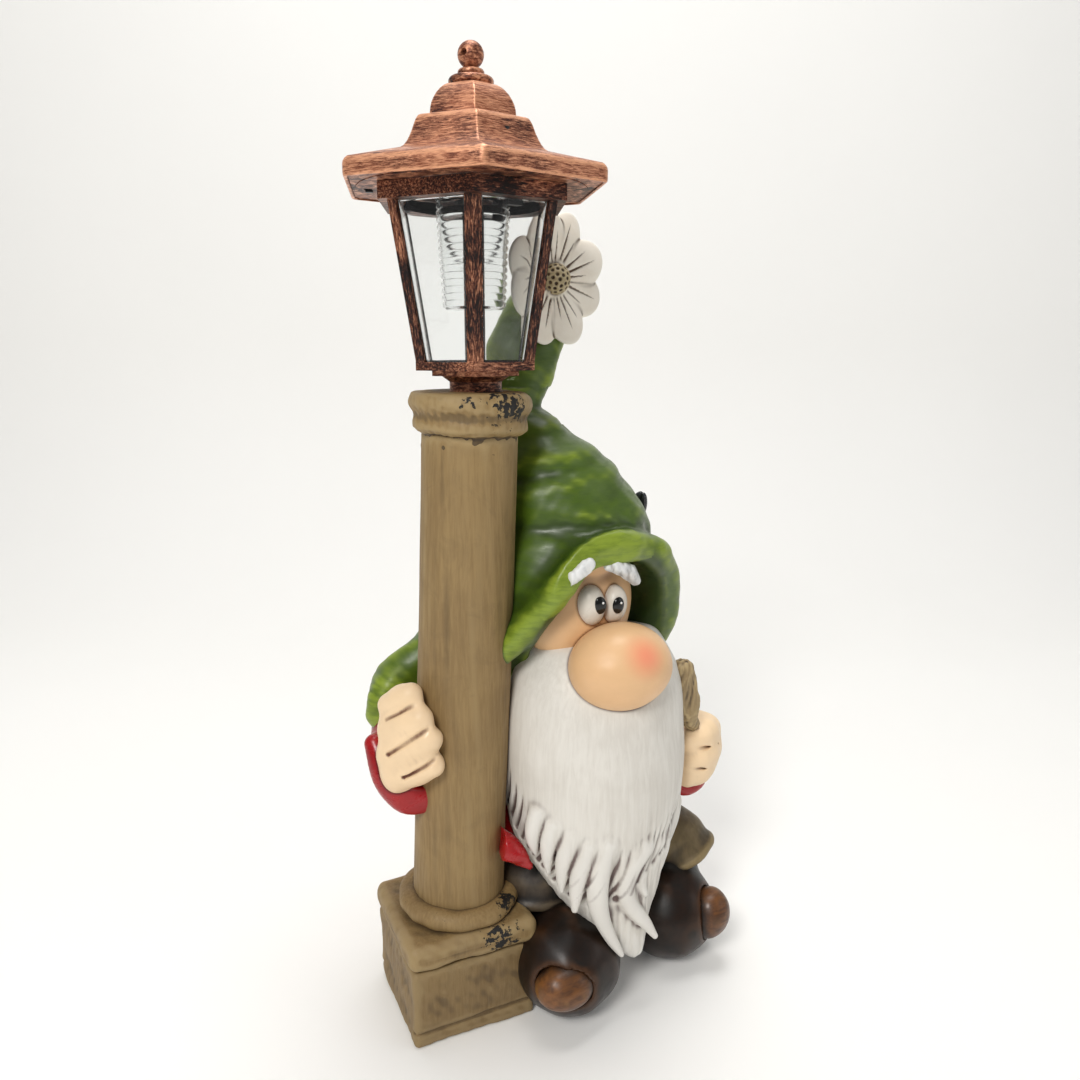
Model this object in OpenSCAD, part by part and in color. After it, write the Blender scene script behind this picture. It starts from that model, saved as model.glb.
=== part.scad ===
// Garden gnome that leans on a column, with a plug-in solar lantern on top of the column.
// Z is up and the gnome faces -Y. The origin is the centre of the plinth's resting face.
// Left and right are the gnome's own: its right hand holds the column, on the -X side.

/* [Column] */
// Side of the square plinth block
plinth_w = 66; // [62:0.5:68]
// Height of the plinth block below its slab
plinth_h = 43; // [40:0.5:45]
// Thickness of the slab on the block
slab_h = 14; // [12:0.5:16]
// How far the slab stands out past the block
slab_overhang = 1.5; // [1:0.25:2.5]
// Height of the column's top above the ground
column_h = 325; // [322:0.5:328]
// Diameter of the shaft
shaft_d = 48; // [46:0.5:50]
// Bore of the hollow shaft
shaft_bore_d = 33; // [30:0.5:34]
// Diameter of the ring round the shaft's foot
foot_ring_d = 63; // [60:0.5:65]
// Diameter of the capital
capital_d = 59; // [56:0.5:61]
// Depth of the lantern's socket
socket_depth = 21; // [18:0.5:22]

/* [Lantern] */
// Radius of the roof across its corners
roof_r = 64.5; // [62:0.5:67]
// Twist of the roof against the cage
roof_twist = 4.2; // [0:0.2:6]
// Radius of the cage's top band across its corners
band_r = 47; // [46:0.25:48]
// Radius of the posts at their tops, across the corners
post_top_r = 42.7; // [42:0.1:43]
// Radius of the posts at their feet, across the corners
post_foot_r = 30.6; // [30:0.1:31]
// Diameter of the spigot
spigot_d = 24.8; // [24:0.1:25]
// Free gap all round the spigot in its socket
spigot_gap = 0.4; // [0.3:0.1:0.6]
// Wall of the clear liner
pane_wall = 1.3; // [1:0.1:1.5]
// Radius of the diffuser tube over its ribs, at the top
diffuser_top_r = 17; // [16:0.25:17.5]
// Radius of the diffuser tube over its ribs, at the bottom
diffuser_foot_r = 14.9; // [14:0.1:15.5]
// Number of ribs on the diffuser tube
diffuser_ribs = 16; // [12:1:18]
// Diameter of the finial's ball
ball_d = 11.7; // [11:0.1:12]
// Diameter of the hole through the ball
ball_hole_d = 3; // [2.5:0.1:3.5]

/* [Solar module] */
// Width, depth and thickness of the solar cell
cell_size = [28, 17, 0.8]; // [0.5:0.1:30]
// Diameter of the battery
battery_d = 10.2; // [10:0.1:10.5]
// Length of the battery
battery_l = 29; // [28:0.5:30]
// Diameter of the lamp
led_d = 5; // [4.8:0.1:5]
// Travel of the switch
switch_travel = 3; // [2:0.25:3]

/* [Gnome] */
// Width, depth and height of the nose
nose_size = [53, 46, 45]; // [40:1:56]
// Width, depth and height of the face
face_size = [76, 62, 76]; // [60:1:80]
// Width, depth and height of one eye
eye_size = [17, 14, 23]; // [12:0.5:24]
// Diameter of the flower on the hat
flower_d = 70; // [62:1:70]
// Number of petals
petals = 8; // [6:1:9]
// Diameter of the flower's heart
heart_d = 17; // [15:0.5:19]
// Diameter of the wooden handle
handle_d = 13; // [12:0.5:14]
// Diameter of a boot's front
boot_d = 58; // [54:1:60]

/* [Hidden] */

$fn = 64;
eps = 0.01;

// Colours
column_paint = [0.61, 0.55, 0.42];
hat_paint = [0.30, 0.47, 0.12];
petal_paint = [0.88, 0.86, 0.80];
heart_paint = [0.62, 0.53, 0.38];
leaf_paint = [0.05, 0.05, 0.06];
skin_paint = [0.96, 0.80, 0.65];
beard_paint = [0.90, 0.88, 0.86];
coat_paint = [0.67, 0.08, 0.10];
trouser_paint = [0.40, 0.35, 0.25];
boot_paint = [0.22, 0.16, 0.12];
toe_paint = [0.46, 0.31, 0.18];
wood_paint = [0.48, 0.40, 0.30];
copper_paint = [0.60, 0.32, 0.22];
clear_plastic = [0.90, 0.93, 0.95, 0.35];

// Where the column leans to, and how steeply
column_top = [13.6, -1.8];
lean_run = norm(column_top);
lean = atan(lean_run / column_h);
lean_azimuth = atan2(column_top.y, column_top.x);
column_l = column_h / cos(lean);

// The lantern stands upright, a little off the column's own centre
lantern = [16, -2.8];
cage_angle = 9.6;
roof_angle = cage_angle + roof_twist;

// Heights of the lantern's parts
spigot_z = column_h - socket_depth + 0.3;
cone_z = 330;
base_z = 333;
frame_z = 335.6;
post_z = 339.5;
flange_z = 408;
flange_t = 2.2;
roof_z = 415;
soffit_recess = 0.3;
tray_t = 2.2;
tray_z = roof_z + soffit_recess;
tray_top_z = tray_z + tray_t;
rings_z = 458.2;
ball_z = 471.6;
roof_wall = 2;

// Bayonet between the tray and the cage
lug_count = 3;
lug_angle = 43.8;
lug_width_angle = 14;
lug_inner_r = 28.6;
stem_outer_r = 31;
flange_bore_r = 31.4;
tab_outer_r = 32.4;
notch_r = 33;
twist_range = 25;

// The battery lies at the back, under the solar cell
battery_angle = 103.8;
battery_offset = 23.8;
battery_z = tray_top_z + battery_d / 2 + 0.2;
screw_offset = 24.5;
switch_angle = 155.6;
switch_offset = 47;

// ---------- shared shapes ----------

// Catmull-Rom value between point i and the next one
function between(p, i, t) =
    let (n = len(p) - 1, a = p[max(i - 1, 0)], b = p[i], c = p[min(i + 1, n)], d = p[min(i + 2, n)])
    0.5 * (2 * b + (c - a) * t + (2 * a - 5 * b + 4 * c - d) * t * t + (3 * b - a - 3 * c + d) * t * t * t);

// The same points with smooth steps between them
function smooth(p, steps) = concat(
    [for (i = [0:len(p) - 2], k = [0:steps - 1]) between(p, i, k / steps)],
    [p[len(p) - 1]]
);

// One level ring from a section [x, y, z, half width, half depth]
function level_ring(s, n) = [for (k = [0:n - 1])
    [s[0] + s[3] * cos(360 * k / n), s[1] + s[4] * sin(360 * k / n), s[2]]
];

// One ring square to a path of points [x, y, z, radius]
function path_ring(p, i, n) =
    let (
        a = p[max(i - 1, 0)],
        b = p[min(i + 1, len(p) - 1)],
        along = [b.x - a.x, b.y - a.y, b.z - a.z] / norm([b.x - a.x, b.y - a.y, b.z - a.z]),
        across = cross(along, [0.05, 1, 0.1]),
        u = across / norm(across),
        v = cross(along, u)
    )
    [for (k = [0:n - 1])
        [p[i].x, p[i].y, p[i].z] + p[i][3] * (cos(360 * k / n) * u + sin(360 * k / n) * v)];

// Closed skin over a list of rings
module skin(rings) {
    n = len(rings[0]);
    last = len(rings) - 1;
    points = [for (ring = rings, p = ring) p];
    sides = [for (i = [0:last - 1], k = [0:n - 1])
        [i * n + k, (i + 1) * n + k, (i + 1) * n + (k + 1) % n, i * n + (k + 1) % n]];
    quads = [for (q = sides) each [[q[0], q[1], q[2]], [q[0], q[2], q[3]]]];
    foot = [for (k = [0:n - 1]) k];
    top = [for (k = [0:n - 1]) last * n + n - 1 - k];
    polyhedron(points, concat(quads, [foot, top]));
}

// Soft solid through level sections, from the bottom up
module lofted(sections, n = 28, steps = 2) {
    skin([for (s = smooth(sections, steps)) level_ring(s, n)]);
}

// Soft round bar along a path, with a radius at each point
module limb(path, n = 16, steps = 3) {
    p = smooth(path, steps);
    skin([for (i = [0:len(p) - 1]) path_ring(p, i, n)]);
}

// Egg of a given width, depth and height
module egg(centre, size, turn = [0, 0, 0], fn = 24) {
    translate(centre)
        rotate(turn)
            scale(size / 2)
                sphere(1, $fn = fn);
}

// Joins soft shapes into one closed skin at their own size
module moulded() {
    resize([0, 0, 0])
        union() children();
}

// Along the leaning axis of the column
module leaning() {
    rotate([0, 0, lean_azimuth])
        rotate([0, lean, 0])
            rotate([0, 0, -lean_azimuth])
                children();
}

// Outline of a square with its corners cut
module cut_square(w, c) {
    a = w / 2;
    b = a - c;
    polygon([[a, -b], [a, b], [b, a], [-b, a], [-a, b], [-a, -b], [-b, -a], [b, -a]]);
}

// Six-sided turning about the lantern's axis
module hex_turned(points) {
    rotate_extrude($fn = 6) polygon(points);
}

module at_lantern(angle = 0) {
    translate([lantern.x, lantern.y, 0])
        rotate([0, 0, angle])
            children();
}

// ---------- column ----------

module plinth_block() {
    groove_z = 8;
    groove = 0.8;
    color(column_paint) {
        linear_extrude(groove_z - groove) cut_square(plinth_w, 1.5);
        translate([0, 0, groove_z - groove])
            linear_extrude(2 * groove) cut_square(plinth_w - 2 * groove, 1.5);
        translate([0, 0, groove_z + groove])
            linear_extrude(plinth_h - groove_z - groove) cut_square(plinth_w, 1.5);
    }
}

module plinth_slab() {
    wide = plinth_w + 2 * slab_overhang;
    edge = 2.5;
    color(column_paint) translate([0, 0, plinth_h]) {
        linear_extrude(slab_h) cut_square(wide - 4, 3.5);
        translate([0, 0, edge]) linear_extrude(slab_h - 2 * edge) cut_square(wide, 3);
    }
}

// Rings are placed by their distance along the leaning axis
module column_foot_ring() {
    bead = 5.2;
    ring_s = plinth_h + slab_h + bead - 1.2;
    color(column_paint)
        leaning() translate([0, 0, ring_s])
            rotate_extrude() difference() {
                union() {
                    translate([foot_ring_d / 2 - bead, 0]) circle(bead, $fn = 32);
                    translate([shaft_d / 2, -bead]) square([foot_ring_d / 2 - bead - shaft_d / 2, 2 * bead]);
                }
                translate([0, -20]) square([shaft_d / 2, 40]);
            }
}

module column_shaft() {
    foot_s = plinth_h + slab_h - 4;
    neck_s = column_l - 20;
    color(column_paint)
        leaning() difference() {
            translate([0, 0, foot_s]) cylinder(h = neck_s - foot_s, d = shaft_d);
            translate([0, 0, foot_s + 8]) cylinder(h = neck_s - foot_s, d = shaft_bore_d);
        }
}

module column_capital() {
    r = capital_d / 2;
    neck_r = r - 1.9;
    plug_h = 8;
    color(column_paint)
        difference() {
            leaning() translate([0, 0, column_l])
                rotate_extrude() {
                    translate([0, -20 - plug_h]) square([shaft_bore_d / 2, plug_h]);
                    translate([0, -20]) square([neck_r - 4, 20]);
                    translate([neck_r - 4, -16]) circle(4, $fn = 32);
                    translate([0, -14]) square([r - 3.5, 8]);
                    translate([r - 5.5, -5.5]) circle(5.5, $fn = 32);
                    translate([0, -10]) square([r - 5.5, 10]);
                }
            translate([lantern.x, lantern.y, column_h - socket_depth])
                cylinder(h = socket_depth + 10, d = spigot_d + 2 * spigot_gap);
        }
}

// ---------- hat ----------

// Sections of the hood, from its hem to its waist: [x, y, z, half width, half depth]
hood_sections = [
    [75, 29, 181, 50, 45], [74, 28, 192, 57, 54], [74, 27, 205, 60, 57], [76, 23, 228, 58, 56], [76, 21, 247, 49, 50],
    [75, 21, 258, 45, 46], [74, 22, 273, 39, 40], [67, 24, 289, 30, 32], [60, 28, 303, 20, 23],
    [55, 32, 314, 12, 14],
];

// Sections of the bent tip, from the waist up: [x, y, z, half width, half depth]
tip_sections = [
    [54, 33, 309, 10, 11], [56, 38, 322, 15, 13], [60, 44, 335, 20, 13], [65, 50, 348, 21, 13],
    [69, 53, 360, 18, 12], [72, 54, 371, 13, 11], [74, 54, 380, 8, 9],
];

module hat_crown() {
    color(hat_paint) moulded()
        difference() {
            lofted(hood_sections, 36, 2);
            egg([79, -36, 188], [92, 100, 124], fn = 32);
            translate([79, 24, 150]) cylinder(h = 50, r = 36, $fn = 32);
        }
}

module hat_drape() {
    color(hat_paint) moulded() limb([
        [44, 36, 226, 14], [26, 44, 212, 17], [4, 47, 196, 16], [-14, 46, 178, 13],
        [-25, 43, 162, 10], [-29, 41, 152, 6],
    ]);
}

module hat_tip() {
    color(hat_paint) moulded() lofted(tip_sections, 28, 2);
}

flower_centre = [77, 41.5, 381];
flower_face = 20;

// Local frame of the flower: +Z points out of its face
module at_flower() {
    translate(flower_centre)
        rotate([0, 0, flower_face])
            rotate([90, 0, 0])
                children();
}

module hat_flower() {
    petal_l = flower_d / 2 - 4;
    color(petal_paint) moulded() at_flower() {
        egg([0, 0, 0], [30, 30, 7]);
        for (k = [0:petals - 1])
            rotate([0, 0, 360 * (k + 0.5) / petals])
                egg([4 + petal_l / 2, 0, 0.5], [petal_l, 22, 6.5], fn = 20);
    }
}

module flower_heart() {
    color(heart_paint) at_flower() translate([0, 0, 3])
        intersection() {
            sphere(d = heart_d);
            translate([0, 0, heart_d / 2]) cube([heart_d + 1, heart_d + 1, heart_d], center = true);
        }
}

leaf_root = [129, 35, 243];

module hat_leaf() {
    color(leaf_paint) moulded() translate(leaf_root) rotate([0, -24, 40])
        egg([0, 0, 14], [6, 19, 30], fn = 20);
}

// ---------- head ----------

module face() {
    color(skin_paint) moulded() egg([79, 3, 217], face_size, fn = 32);
}

module eyes() {
    color(beard_paint) moulded() {
        egg([72, -25, 218], eye_size, [10, 8, 0]);
        egg([86, -26, 218], eye_size - [3, 0, 1], [10, -6, 0]);
    }
}

module pupils() {
    color(leaf_paint) moulded() {
        egg([75.5, -31.2, 217], [6, 2.4, 9.5], [10, 4, 0], 16);
        egg([84, -32, 217], [5.6, 2.4, 9.5], [10, -3, 0], 16);
    }
}

module eyebrows() {
    color(beard_paint) moulded() {
        egg([64, -29, 238], [20, 9, 8], [20, -38, 0], 16);
        egg([92, -30, 239], [19, 9, 8], [20, 32, 0], 16);
    }
}

module nose() {
    color(skin_paint) moulded() egg([78, -39, 190], nose_size, fn = 32);
}

// Sections of the beard, from its tip up: [x, y, z, half width, half depth]
beard_sections = [
    [92, -45, 18, 5, 5], [90, -40, 30, 12, 11], [84, -31, 46, 23, 21], [81, -20, 68, 36, 34],
    [79, -12, 92, 46, 43], [78, -8, 122, 50, 49], [78, -7, 150, 51, 47], [79, -6, 178, 47, 42],
    [79, -4, 200, 38, 32],
];

module beard() {
    color(beard_paint) moulded() lofted(beard_sections, 32, 2);
}

// ---------- body ----------

// Sections of the coat, from its hem up: [x, y, z, half width, half depth]
coat_sections = [
    [78, 12, 78, 53, 40], [78, 13, 92, 54, 42], [78, 16, 120, 52, 43], [78, 18, 150, 49, 41],
    [79, 20, 180, 44, 38], [79, 21, 200, 39, 34],
];

module coat() {
    color(coat_paint) moulded() lofted(coat_sections, 28, 2);
}

module right_sleeve() {
    color(coat_paint) moulded() limb([
        [42, 24, 172, 15], [30, 34, 164, 19], [8, 42, 152, 18], [-12, 38, 142, 17],
        [-24, 20, 136, 16.5], [-24, 8, 136, 16], [-24, 4, 138, 12],
    ]);
}

module left_sleeve() {
    color(coat_paint) moulded() limb([
        [112, 22, 170, 14], [122, 24, 158, 17], [133, 16, 132, 18], [138, 4, 112, 17],
        [139, -3, 108, 16], [139, -7, 107, 12],
    ]);
}

module right_hand() {
    color(skin_paint) moulded() {
        egg([-24, -6, 158], [25, 26, 54], [0, 20, 0]);
        for (k = [0:3])
            translate([k * -1.5, 0, k * 10.5])
                hull() {
                    translate([-30, -12, 137]) sphere(6.5, $fn = 16);
                    translate([-12, -23, 145]) sphere(5.5, $fn = 16);
                }
    }
}

module left_hand() {
    color(skin_paint) moulded() {
        egg([141, -10, 124], [33, 30, 40], [0, 8, 0]);
        for (k = [0:2])
            translate([-0.8 * k, 0, k * 10.5])
                hull() {
                    translate([149, -14, 114]) sphere(6.5, $fn = 16);
                    translate([134, -22, 112]) sphere(6, $fn = 16);
                }
    }
}

module wooden_handle() {
    top = [126, -18, 174];
    foot = [134, -18, 132];
    run = top - foot;
    length = norm(run);
    color(wood_paint)
        translate(foot)
            rotate([0, acos(run.z / length), atan2(run.y, run.x)]) {
                cylinder(h = length, d = handle_d);
                translate([0, 0, length]) sphere(d = handle_d);
            }
}

// ---------- legs ----------

module right_trouser() {
    color(trouser_paint) moulded() limb([
        [56, 16, 92, 20], [52, 8, 78, 21], [48, 0, 64, 21], [46, -5, 54, 20],
    ]);
}

module left_trouser() {
    color(trouser_paint) moulded() limb([
        [104, 16, 92, 20], [114, 12, 80, 21], [126, 4, 68, 20], [136, -3, 58, 21], [139, -6, 54, 20],
    ]);
}

// A boot's soft front, its heel, and its shaft, standing on a flat sole
module boot(front, heel, shaft_top) {
    color(boot_paint) moulded()
        difference() {
            union() {
                egg(front, [boot_d, boot_d, boot_d], fn = 28);
                egg(heel, [44, 44, 46], fn = 20);
                limb([[heel.x, heel.y, heel.z, 19], [(heel.x + shaft_top.x) / 2, (heel.y + shaft_top.y) / 2,
                    (heel.z + shaft_top.z) / 2, 19], [shaft_top.x, shaft_top.y, shaft_top.z, 18]]);
            }
            translate([heel.x, heel.y, -50]) cube([300, 300, 100], center = true);
        }
}

module right_boot() {
    boot([47, -30, 28], [51, 2, 22], [48, -2, 56]);
}

module left_boot() {
    boot([128, -22, 25], [119, 4, 22], [134, -2, 56]);
}

module right_toe() {
    color(toe_paint) moulded() egg([40, -51, 31], [38, 28, 36]);
}

module left_toe() {
    color(toe_paint) moulded() egg([148, -38, 37], [19, 19, 27], [20, 20, 0], 20);
}

// ---------- lantern ----------

module lantern_spigot() {
    lead_in = 1.5;
    color(copper_paint) at_lantern()
        rotate_extrude() polygon([
            [0, spigot_z], [spigot_d / 2 - lead_in, spigot_z], [spigot_d / 2, spigot_z + lead_in],
            [spigot_d / 2, cone_z], [16.5, base_z], [0, base_z],
        ]);
}

module lantern_base() {
    color(copper_paint) at_lantern(cage_angle)
        translate([0, 0, base_z]) cylinder(h = frame_z - base_z, r = 23, $fn = 6);
}

// V-shaped section of a post, its edge at the corner radius r
function post_section(r, z) =
    let (arm = 4.2, t = 2, a = 120)
    [
        [r, 0, z], [r + arm * cos(a), arm * sin(a), z],
        [r + arm * cos(a) - t * sin(a), arm * sin(a) + t * cos(a), z], [r - t / sin(60), 0, z],
        [r + arm * cos(a) - t * sin(a), -arm * sin(a) - t * cos(a), z],
        [r + arm * cos(a), -arm * sin(a), z],
    ];

module lantern_cage() {
    band_wall = 2;
    color(copper_paint) moulded() at_lantern(cage_angle) {
        for (k = [0:5])
            rotate([0, 0, 60 * k])
                skin([post_section(post_foot_r, frame_z + 1), post_section(post_top_r, flange_z + 1)]);
        difference() {
            translate([0, 0, flange_z]) cylinder(h = roof_z - flange_z, r = band_r, $fn = 6);
            translate([0, 0, flange_z + flange_t])
                cylinder(h = roof_z, r = band_r - band_wall, $fn = 6);
            translate([0, 0, flange_z - 1]) cylinder(h = 10, r = flange_bore_r, $fn = 48);
            for (k = [0:lug_count - 1])
                rotate([0, 0, lug_angle - cage_angle + twist_range + 360 * k / lug_count])
                    translate([0, 0, flange_z - 1])
                        linear_extrude(10) sector(notch_r, lug_width_angle + 4);
        }
        translate([0, 0, frame_z]) difference() {
            cylinder(h = post_z - frame_z, r = post_foot_r + 0.6, $fn = 6);
            translate([0, 0, 1.2]) cylinder(h = 10, r = post_foot_r - 2.2, $fn = 6);
        }
    }
}

// Pie slice about the +X direction
module sector(r, angle) {
    polygon([[0, 0], for (k = [-4:4]) r * [cos(k * angle / 8), sin(k * angle / 8)]]);
}

module lantern_panes() {
    gap = 2.6;
    foot_z = frame_z + 1.4;
    height = flange_z - 0.3 - foot_z;
    foot_r = post_foot_r - gap;
    top_r = post_top_r - gap;
    color(clear_plastic) at_lantern(cage_angle) moulded()
        translate([0, 0, foot_z]) difference() {
            cylinder(h = height, r1 = foot_r, r2 = top_r, $fn = 6);
            translate([0, 0, pane_wall])
                cylinder(h = height, r1 = foot_r - pane_wall, r2 = top_r - pane_wall, $fn = 6);
        }
}

// ---------- roof ----------

// Outer corner line of the roof, as [radius, height above the brim's foot]
roof_line = [
    [roof_r, 0], [roof_r, 6], [roof_r - 2, 8.2], [34.9, 15.2], [31.4, 20.8], [29.3, 25.6],
    [27.7, 27.9], [26.7, 28.6], [21.6, 28.9], [21.4, 31], [19.8, 36.4], [16, 41.4], [12.7, 43.3],
];

module roof_shell() {
    top = roof_line[len(roof_line) - 1].y;
    inner_line = [for (p = roof_line) [p.x - roof_wall, p.y - roof_wall]];
    pocket = [cell_size.x + 0.6, cell_size.y + 0.6, 2.2];
    color(copper_paint) moulded()
        difference() {
            at_lantern(roof_angle) translate([0, 0, roof_z])
                hex_turned(concat([[0, 0]], roof_line, [[0, top]]));
            at_lantern(roof_angle) translate([0, 0, roof_z])
                hex_turned(concat([[roof_r - roof_wall, -4]], inner_line, [[0, top - roof_wall], [0, -4]]));
            at_cell() translate([0, 0, pocket.z / 2 - 1.4]) cube([pocket.y, pocket.x, pocket.z], center = true);
        }
}

// On the middle of the rear facet of the brim: +Z stands out of the facet, +X runs down it
module at_cell() {
    slope = atan(7 / (cos(30) * (roof_r - 2 - 34.9)));
    reach = cos(30) * (roof_r - 2 + 34.9) / 2;
    at_lantern(battery_angle) translate([reach, 0, roof_z + 11.7]) rotate([0, slope, 0]) children();
}

module solar_cell() {
    color([0.06, 0.07, 0.15])
        at_cell() translate([0, 0, cell_size.z / 2 - 1.4])
            cube([cell_size.y, cell_size.x, cell_size.z], center = true);
}

module solar_cover() {
    cover_t = 0.7;
    color(clear_plastic)
        at_cell() translate([0, 0, cell_size.z + cover_t / 2 - 1.4])
            cube([cell_size.y, cell_size.x, cover_t], center = true);
}

module roof_pillars() {
    top_z = roof_z + 23;
    color(copper_paint)
        for (k = [0:lug_count - 1])
            at_lantern(lug_angle + 360 * k / lug_count)
                translate([screw_offset, 0, tray_top_z]) difference() {
                    cylinder(h = top_z - tray_top_z, d = 5, $fn = 24);
                    translate([0, 0, -eps]) cylinder(h = 9, d = 2.1, $fn = 24);
                }
}

disc_r = 52;

module soffit_ring() {
    fit = 0.15;
    color(copper_paint) at_lantern(roof_angle)
        translate([0, 0, tray_z + 0.3]) difference() {
            cylinder(h = tray_t, r = roof_r - roof_wall - fit, $fn = 6);
            translate([0, 0, -1]) cylinder(h = 10, r = disc_r + fit, $fn = 96);
        }
}

module module_tray() {
    slot_l = switch_travel + 3.8;
    color(copper_paint)
        difference() {
            union() {
                at_lantern() translate([0, 0, tray_z]) cylinder(h = tray_t, r = disc_r, $fn = 96);
                for (k = [0:2])
                    at_lantern(lug_angle + 60 + 120 * k)
                        translate([12, 0, tray_top_z - eps]) cylinder(h = 2, d = 3, $fn = 24);
            }
            at_lantern() translate([0, 0, tray_z - 1]) cylinder(h = 10, d = led_d + 0.6, $fn = 32);
            for (k = [0:lug_count - 1])
                at_lantern(lug_angle + 120 * k)
                    translate([screw_offset, 0, tray_z - 1]) cylinder(h = 10, d = 2.2, $fn = 24);
            at_lantern(battery_angle)
                translate([battery_offset, 0, tray_z])
                    cube([battery_d + 2, battery_l + 4, 3 * tray_t], center = true);
            at_lantern(switch_angle)
                translate([switch_offset, switch_travel / 2, tray_z]) cube([3.6, slot_l, 3 * tray_t], center = true);
        }
}

// Three hooks that hang from the tray and turn under the flange of the cage
module bayonet_lugs() {
    tab_t = 2;
    tab_z = flange_z - 0.3 - tab_t;
    color(copper_paint)
        for (k = [0:lug_count - 1])
            at_lantern(lug_angle + 360 * k / lug_count) {
                translate([0, 0, tab_z]) linear_extrude(tray_z - tab_z)
                    arc_band(lug_inner_r, stem_outer_r, lug_width_angle - 2);
                translate([0, 0, tab_z]) linear_extrude(tab_t)
                    arc_band(lug_inner_r, tab_outer_r, lug_width_angle);
            }
}

module arc_band(inner, outer, angle) {
    polygon([
        for (k = [-4:4]) outer * [cos(k * angle / 8), sin(k * angle / 8)],
        for (k = [4:-1:-4]) inner * [cos(k * angle / 8), sin(k * angle / 8)],
    ]);
}

module diffuser_tube() {
    foot_z = 363;
    wall = 1;
    rib = 0.9;
    height = tray_z - foot_z;
    pitch = (height - 5) / diffuser_ribs;
    function outer(z) = diffuser_foot_r + (diffuser_top_r - diffuser_foot_r) * z / height;
    ribs = [for (k = [0:diffuser_ribs - 1]) let (z = 3 + k * pitch) each [
        [outer(z) - rib, z], [outer(z), z + 0.3 * pitch], [outer(z) - rib, z + 0.6 * pitch],
    ]];
    color(clear_plastic) at_lantern() translate([0, 0, foot_z])
        rotate_extrude() polygon(concat(
            [[0, 0], [diffuser_foot_r - rib - 0.6, 0]], ribs,
            [[diffuser_top_r + 1.2, height - 1.2], [diffuser_top_r + 1.2, height],
             [diffuser_top_r - rib - wall, height], [diffuser_foot_r - rib - wall, wall], [0, wall]]
        ));
}

module finial_rings() {
    color(copper_paint) at_lantern() translate([0, 0, rings_z])
        rotate_extrude() {
            polygon([[0, 0], [10.8, 0], [9, 1.2], [8, 3.6], [5, 5.2], [4, 7.8], [0, 7.8]]);
            translate([8.2, 2.4]) circle(1.9, $fn = 32);
            translate([4.4, 6.1]) circle(1.5, $fn = 32);
        }
}

module finial_ball() {
    hole_angle = 218;
    color(copper_paint) at_lantern(hole_angle)
        translate([0, 0, ball_z]) difference() {
            sphere(d = ball_d);
            rotate([0, 90, 0]) cylinder(h = 3 * ball_d, d = ball_hole_d, center = true, $fn = 32);
        }
}

// ---------- electrics ----------

board_z = tray_top_z + 2;

module circuit_board() {
    color([0.10, 0.35, 0.16]) at_lantern() translate([0, 0, board_z])
        cylinder(h = 1.6, r = 15.5);
}

module led() {
    dome_z = 409;
    color([0.95, 0.95, 0.90, 0.8]) at_lantern() {
        translate([0, 0, dome_z + led_d / 2]) {
            cylinder(h = board_z - dome_z - led_d / 2 - 0.5, d = led_d);
            sphere(d = led_d);
        }
    }
}

module battery() {
    color([0.20, 0.45, 0.25]) at_lantern(battery_angle)
        translate([battery_offset, 0, battery_z]) rotate([90, 0, 0]) {
            cylinder(h = battery_l - 1, d = battery_d, center = true);
            cylinder(h = battery_l + 1, d = 3.6, center = true);
        }
}

module battery_contacts() {
    color([0.75, 0.75, 0.72])
        for (side = [-1, 1])
            at_lantern(battery_angle)
                translate([battery_offset, side * (battery_l / 2 + 0.8), battery_z])
                    cube([7, 0.5, 8], center = true);
}

module battery_cover() {
    color(copper_paint) at_lantern(battery_angle)
        translate([battery_offset, 0, tray_z + tray_t / 2])
            cube([battery_d + 1.6, battery_l + 3.6, tray_t], center = true);
}

module tray_screws() {
    color([0.6, 0.6, 0.6])
        for (k = [0:lug_count - 1])
            at_lantern(lug_angle + 120 * k)
                translate([screw_offset, 0, tray_z]) {
                    cylinder(h = 9, d = 2.1, $fn = 24);
                    difference() {
                        translate([0, 0, -1.2]) cylinder(h = 1.2, d = 3.8, $fn = 24);
                        for (turn = [0, 90])
                            rotate([0, 0, turn])
                                translate([0, 0, -1.2]) cube([2.6, 0.5, 1.2], center = true);
                    }
                }
}

module switch_housing() {
    size = [7, 15, 3.6];
    wall = 0.7;
    color([0.7, 0.7, 0.7]) at_lantern(switch_angle)
        translate([switch_offset, switch_travel / 2, tray_top_z + size.z / 2]) difference() {
            cube(size, center = true);
            translate([0, 0, -wall]) cube([size.x - 2 * wall, size.y - 2 * wall, size.z], center = true);
        }
}

module switch_slider() {
    knob_h = 3.3;
    color([0.05, 0.05, 0.05]) at_lantern(switch_angle)
        translate([switch_offset, 0, tray_z - 0.8]) {
            translate([0, 0, knob_h / 2]) cube([3, 3, knob_h], center = true);
            translate([0, 0, knob_h + 0.8]) cube([5, 8, 1.6], center = true);
        }
}

plinth_block();
plinth_slab();
column_foot_ring();
column_shaft();
column_capital();
hat_crown();
hat_drape();
hat_tip();
hat_flower();
flower_heart();
hat_leaf();
face();
eyes();
pupils();
eyebrows();
nose();
beard();
coat();
right_sleeve();
left_sleeve();
right_hand();
left_hand();
wooden_handle();
right_trouser();
left_trouser();
right_boot();
left_boot();
right_toe();
left_toe();
lantern_spigot();
lantern_base();
lantern_cage();
lantern_panes();
roof_shell();
roof_pillars();
soffit_ring();
module_tray();
bayonet_lugs();
diffuser_tube();
finial_rings();
finial_ball();
solar_cell();
solar_cover();
circuit_board();
led();
battery();
battery_contacts();
battery_cover();
tray_screws();
switch_housing();
switch_slider();
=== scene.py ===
"""Looks of a cast garden gnome that holds a column with a solar lantern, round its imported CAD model."""
import math

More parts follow.
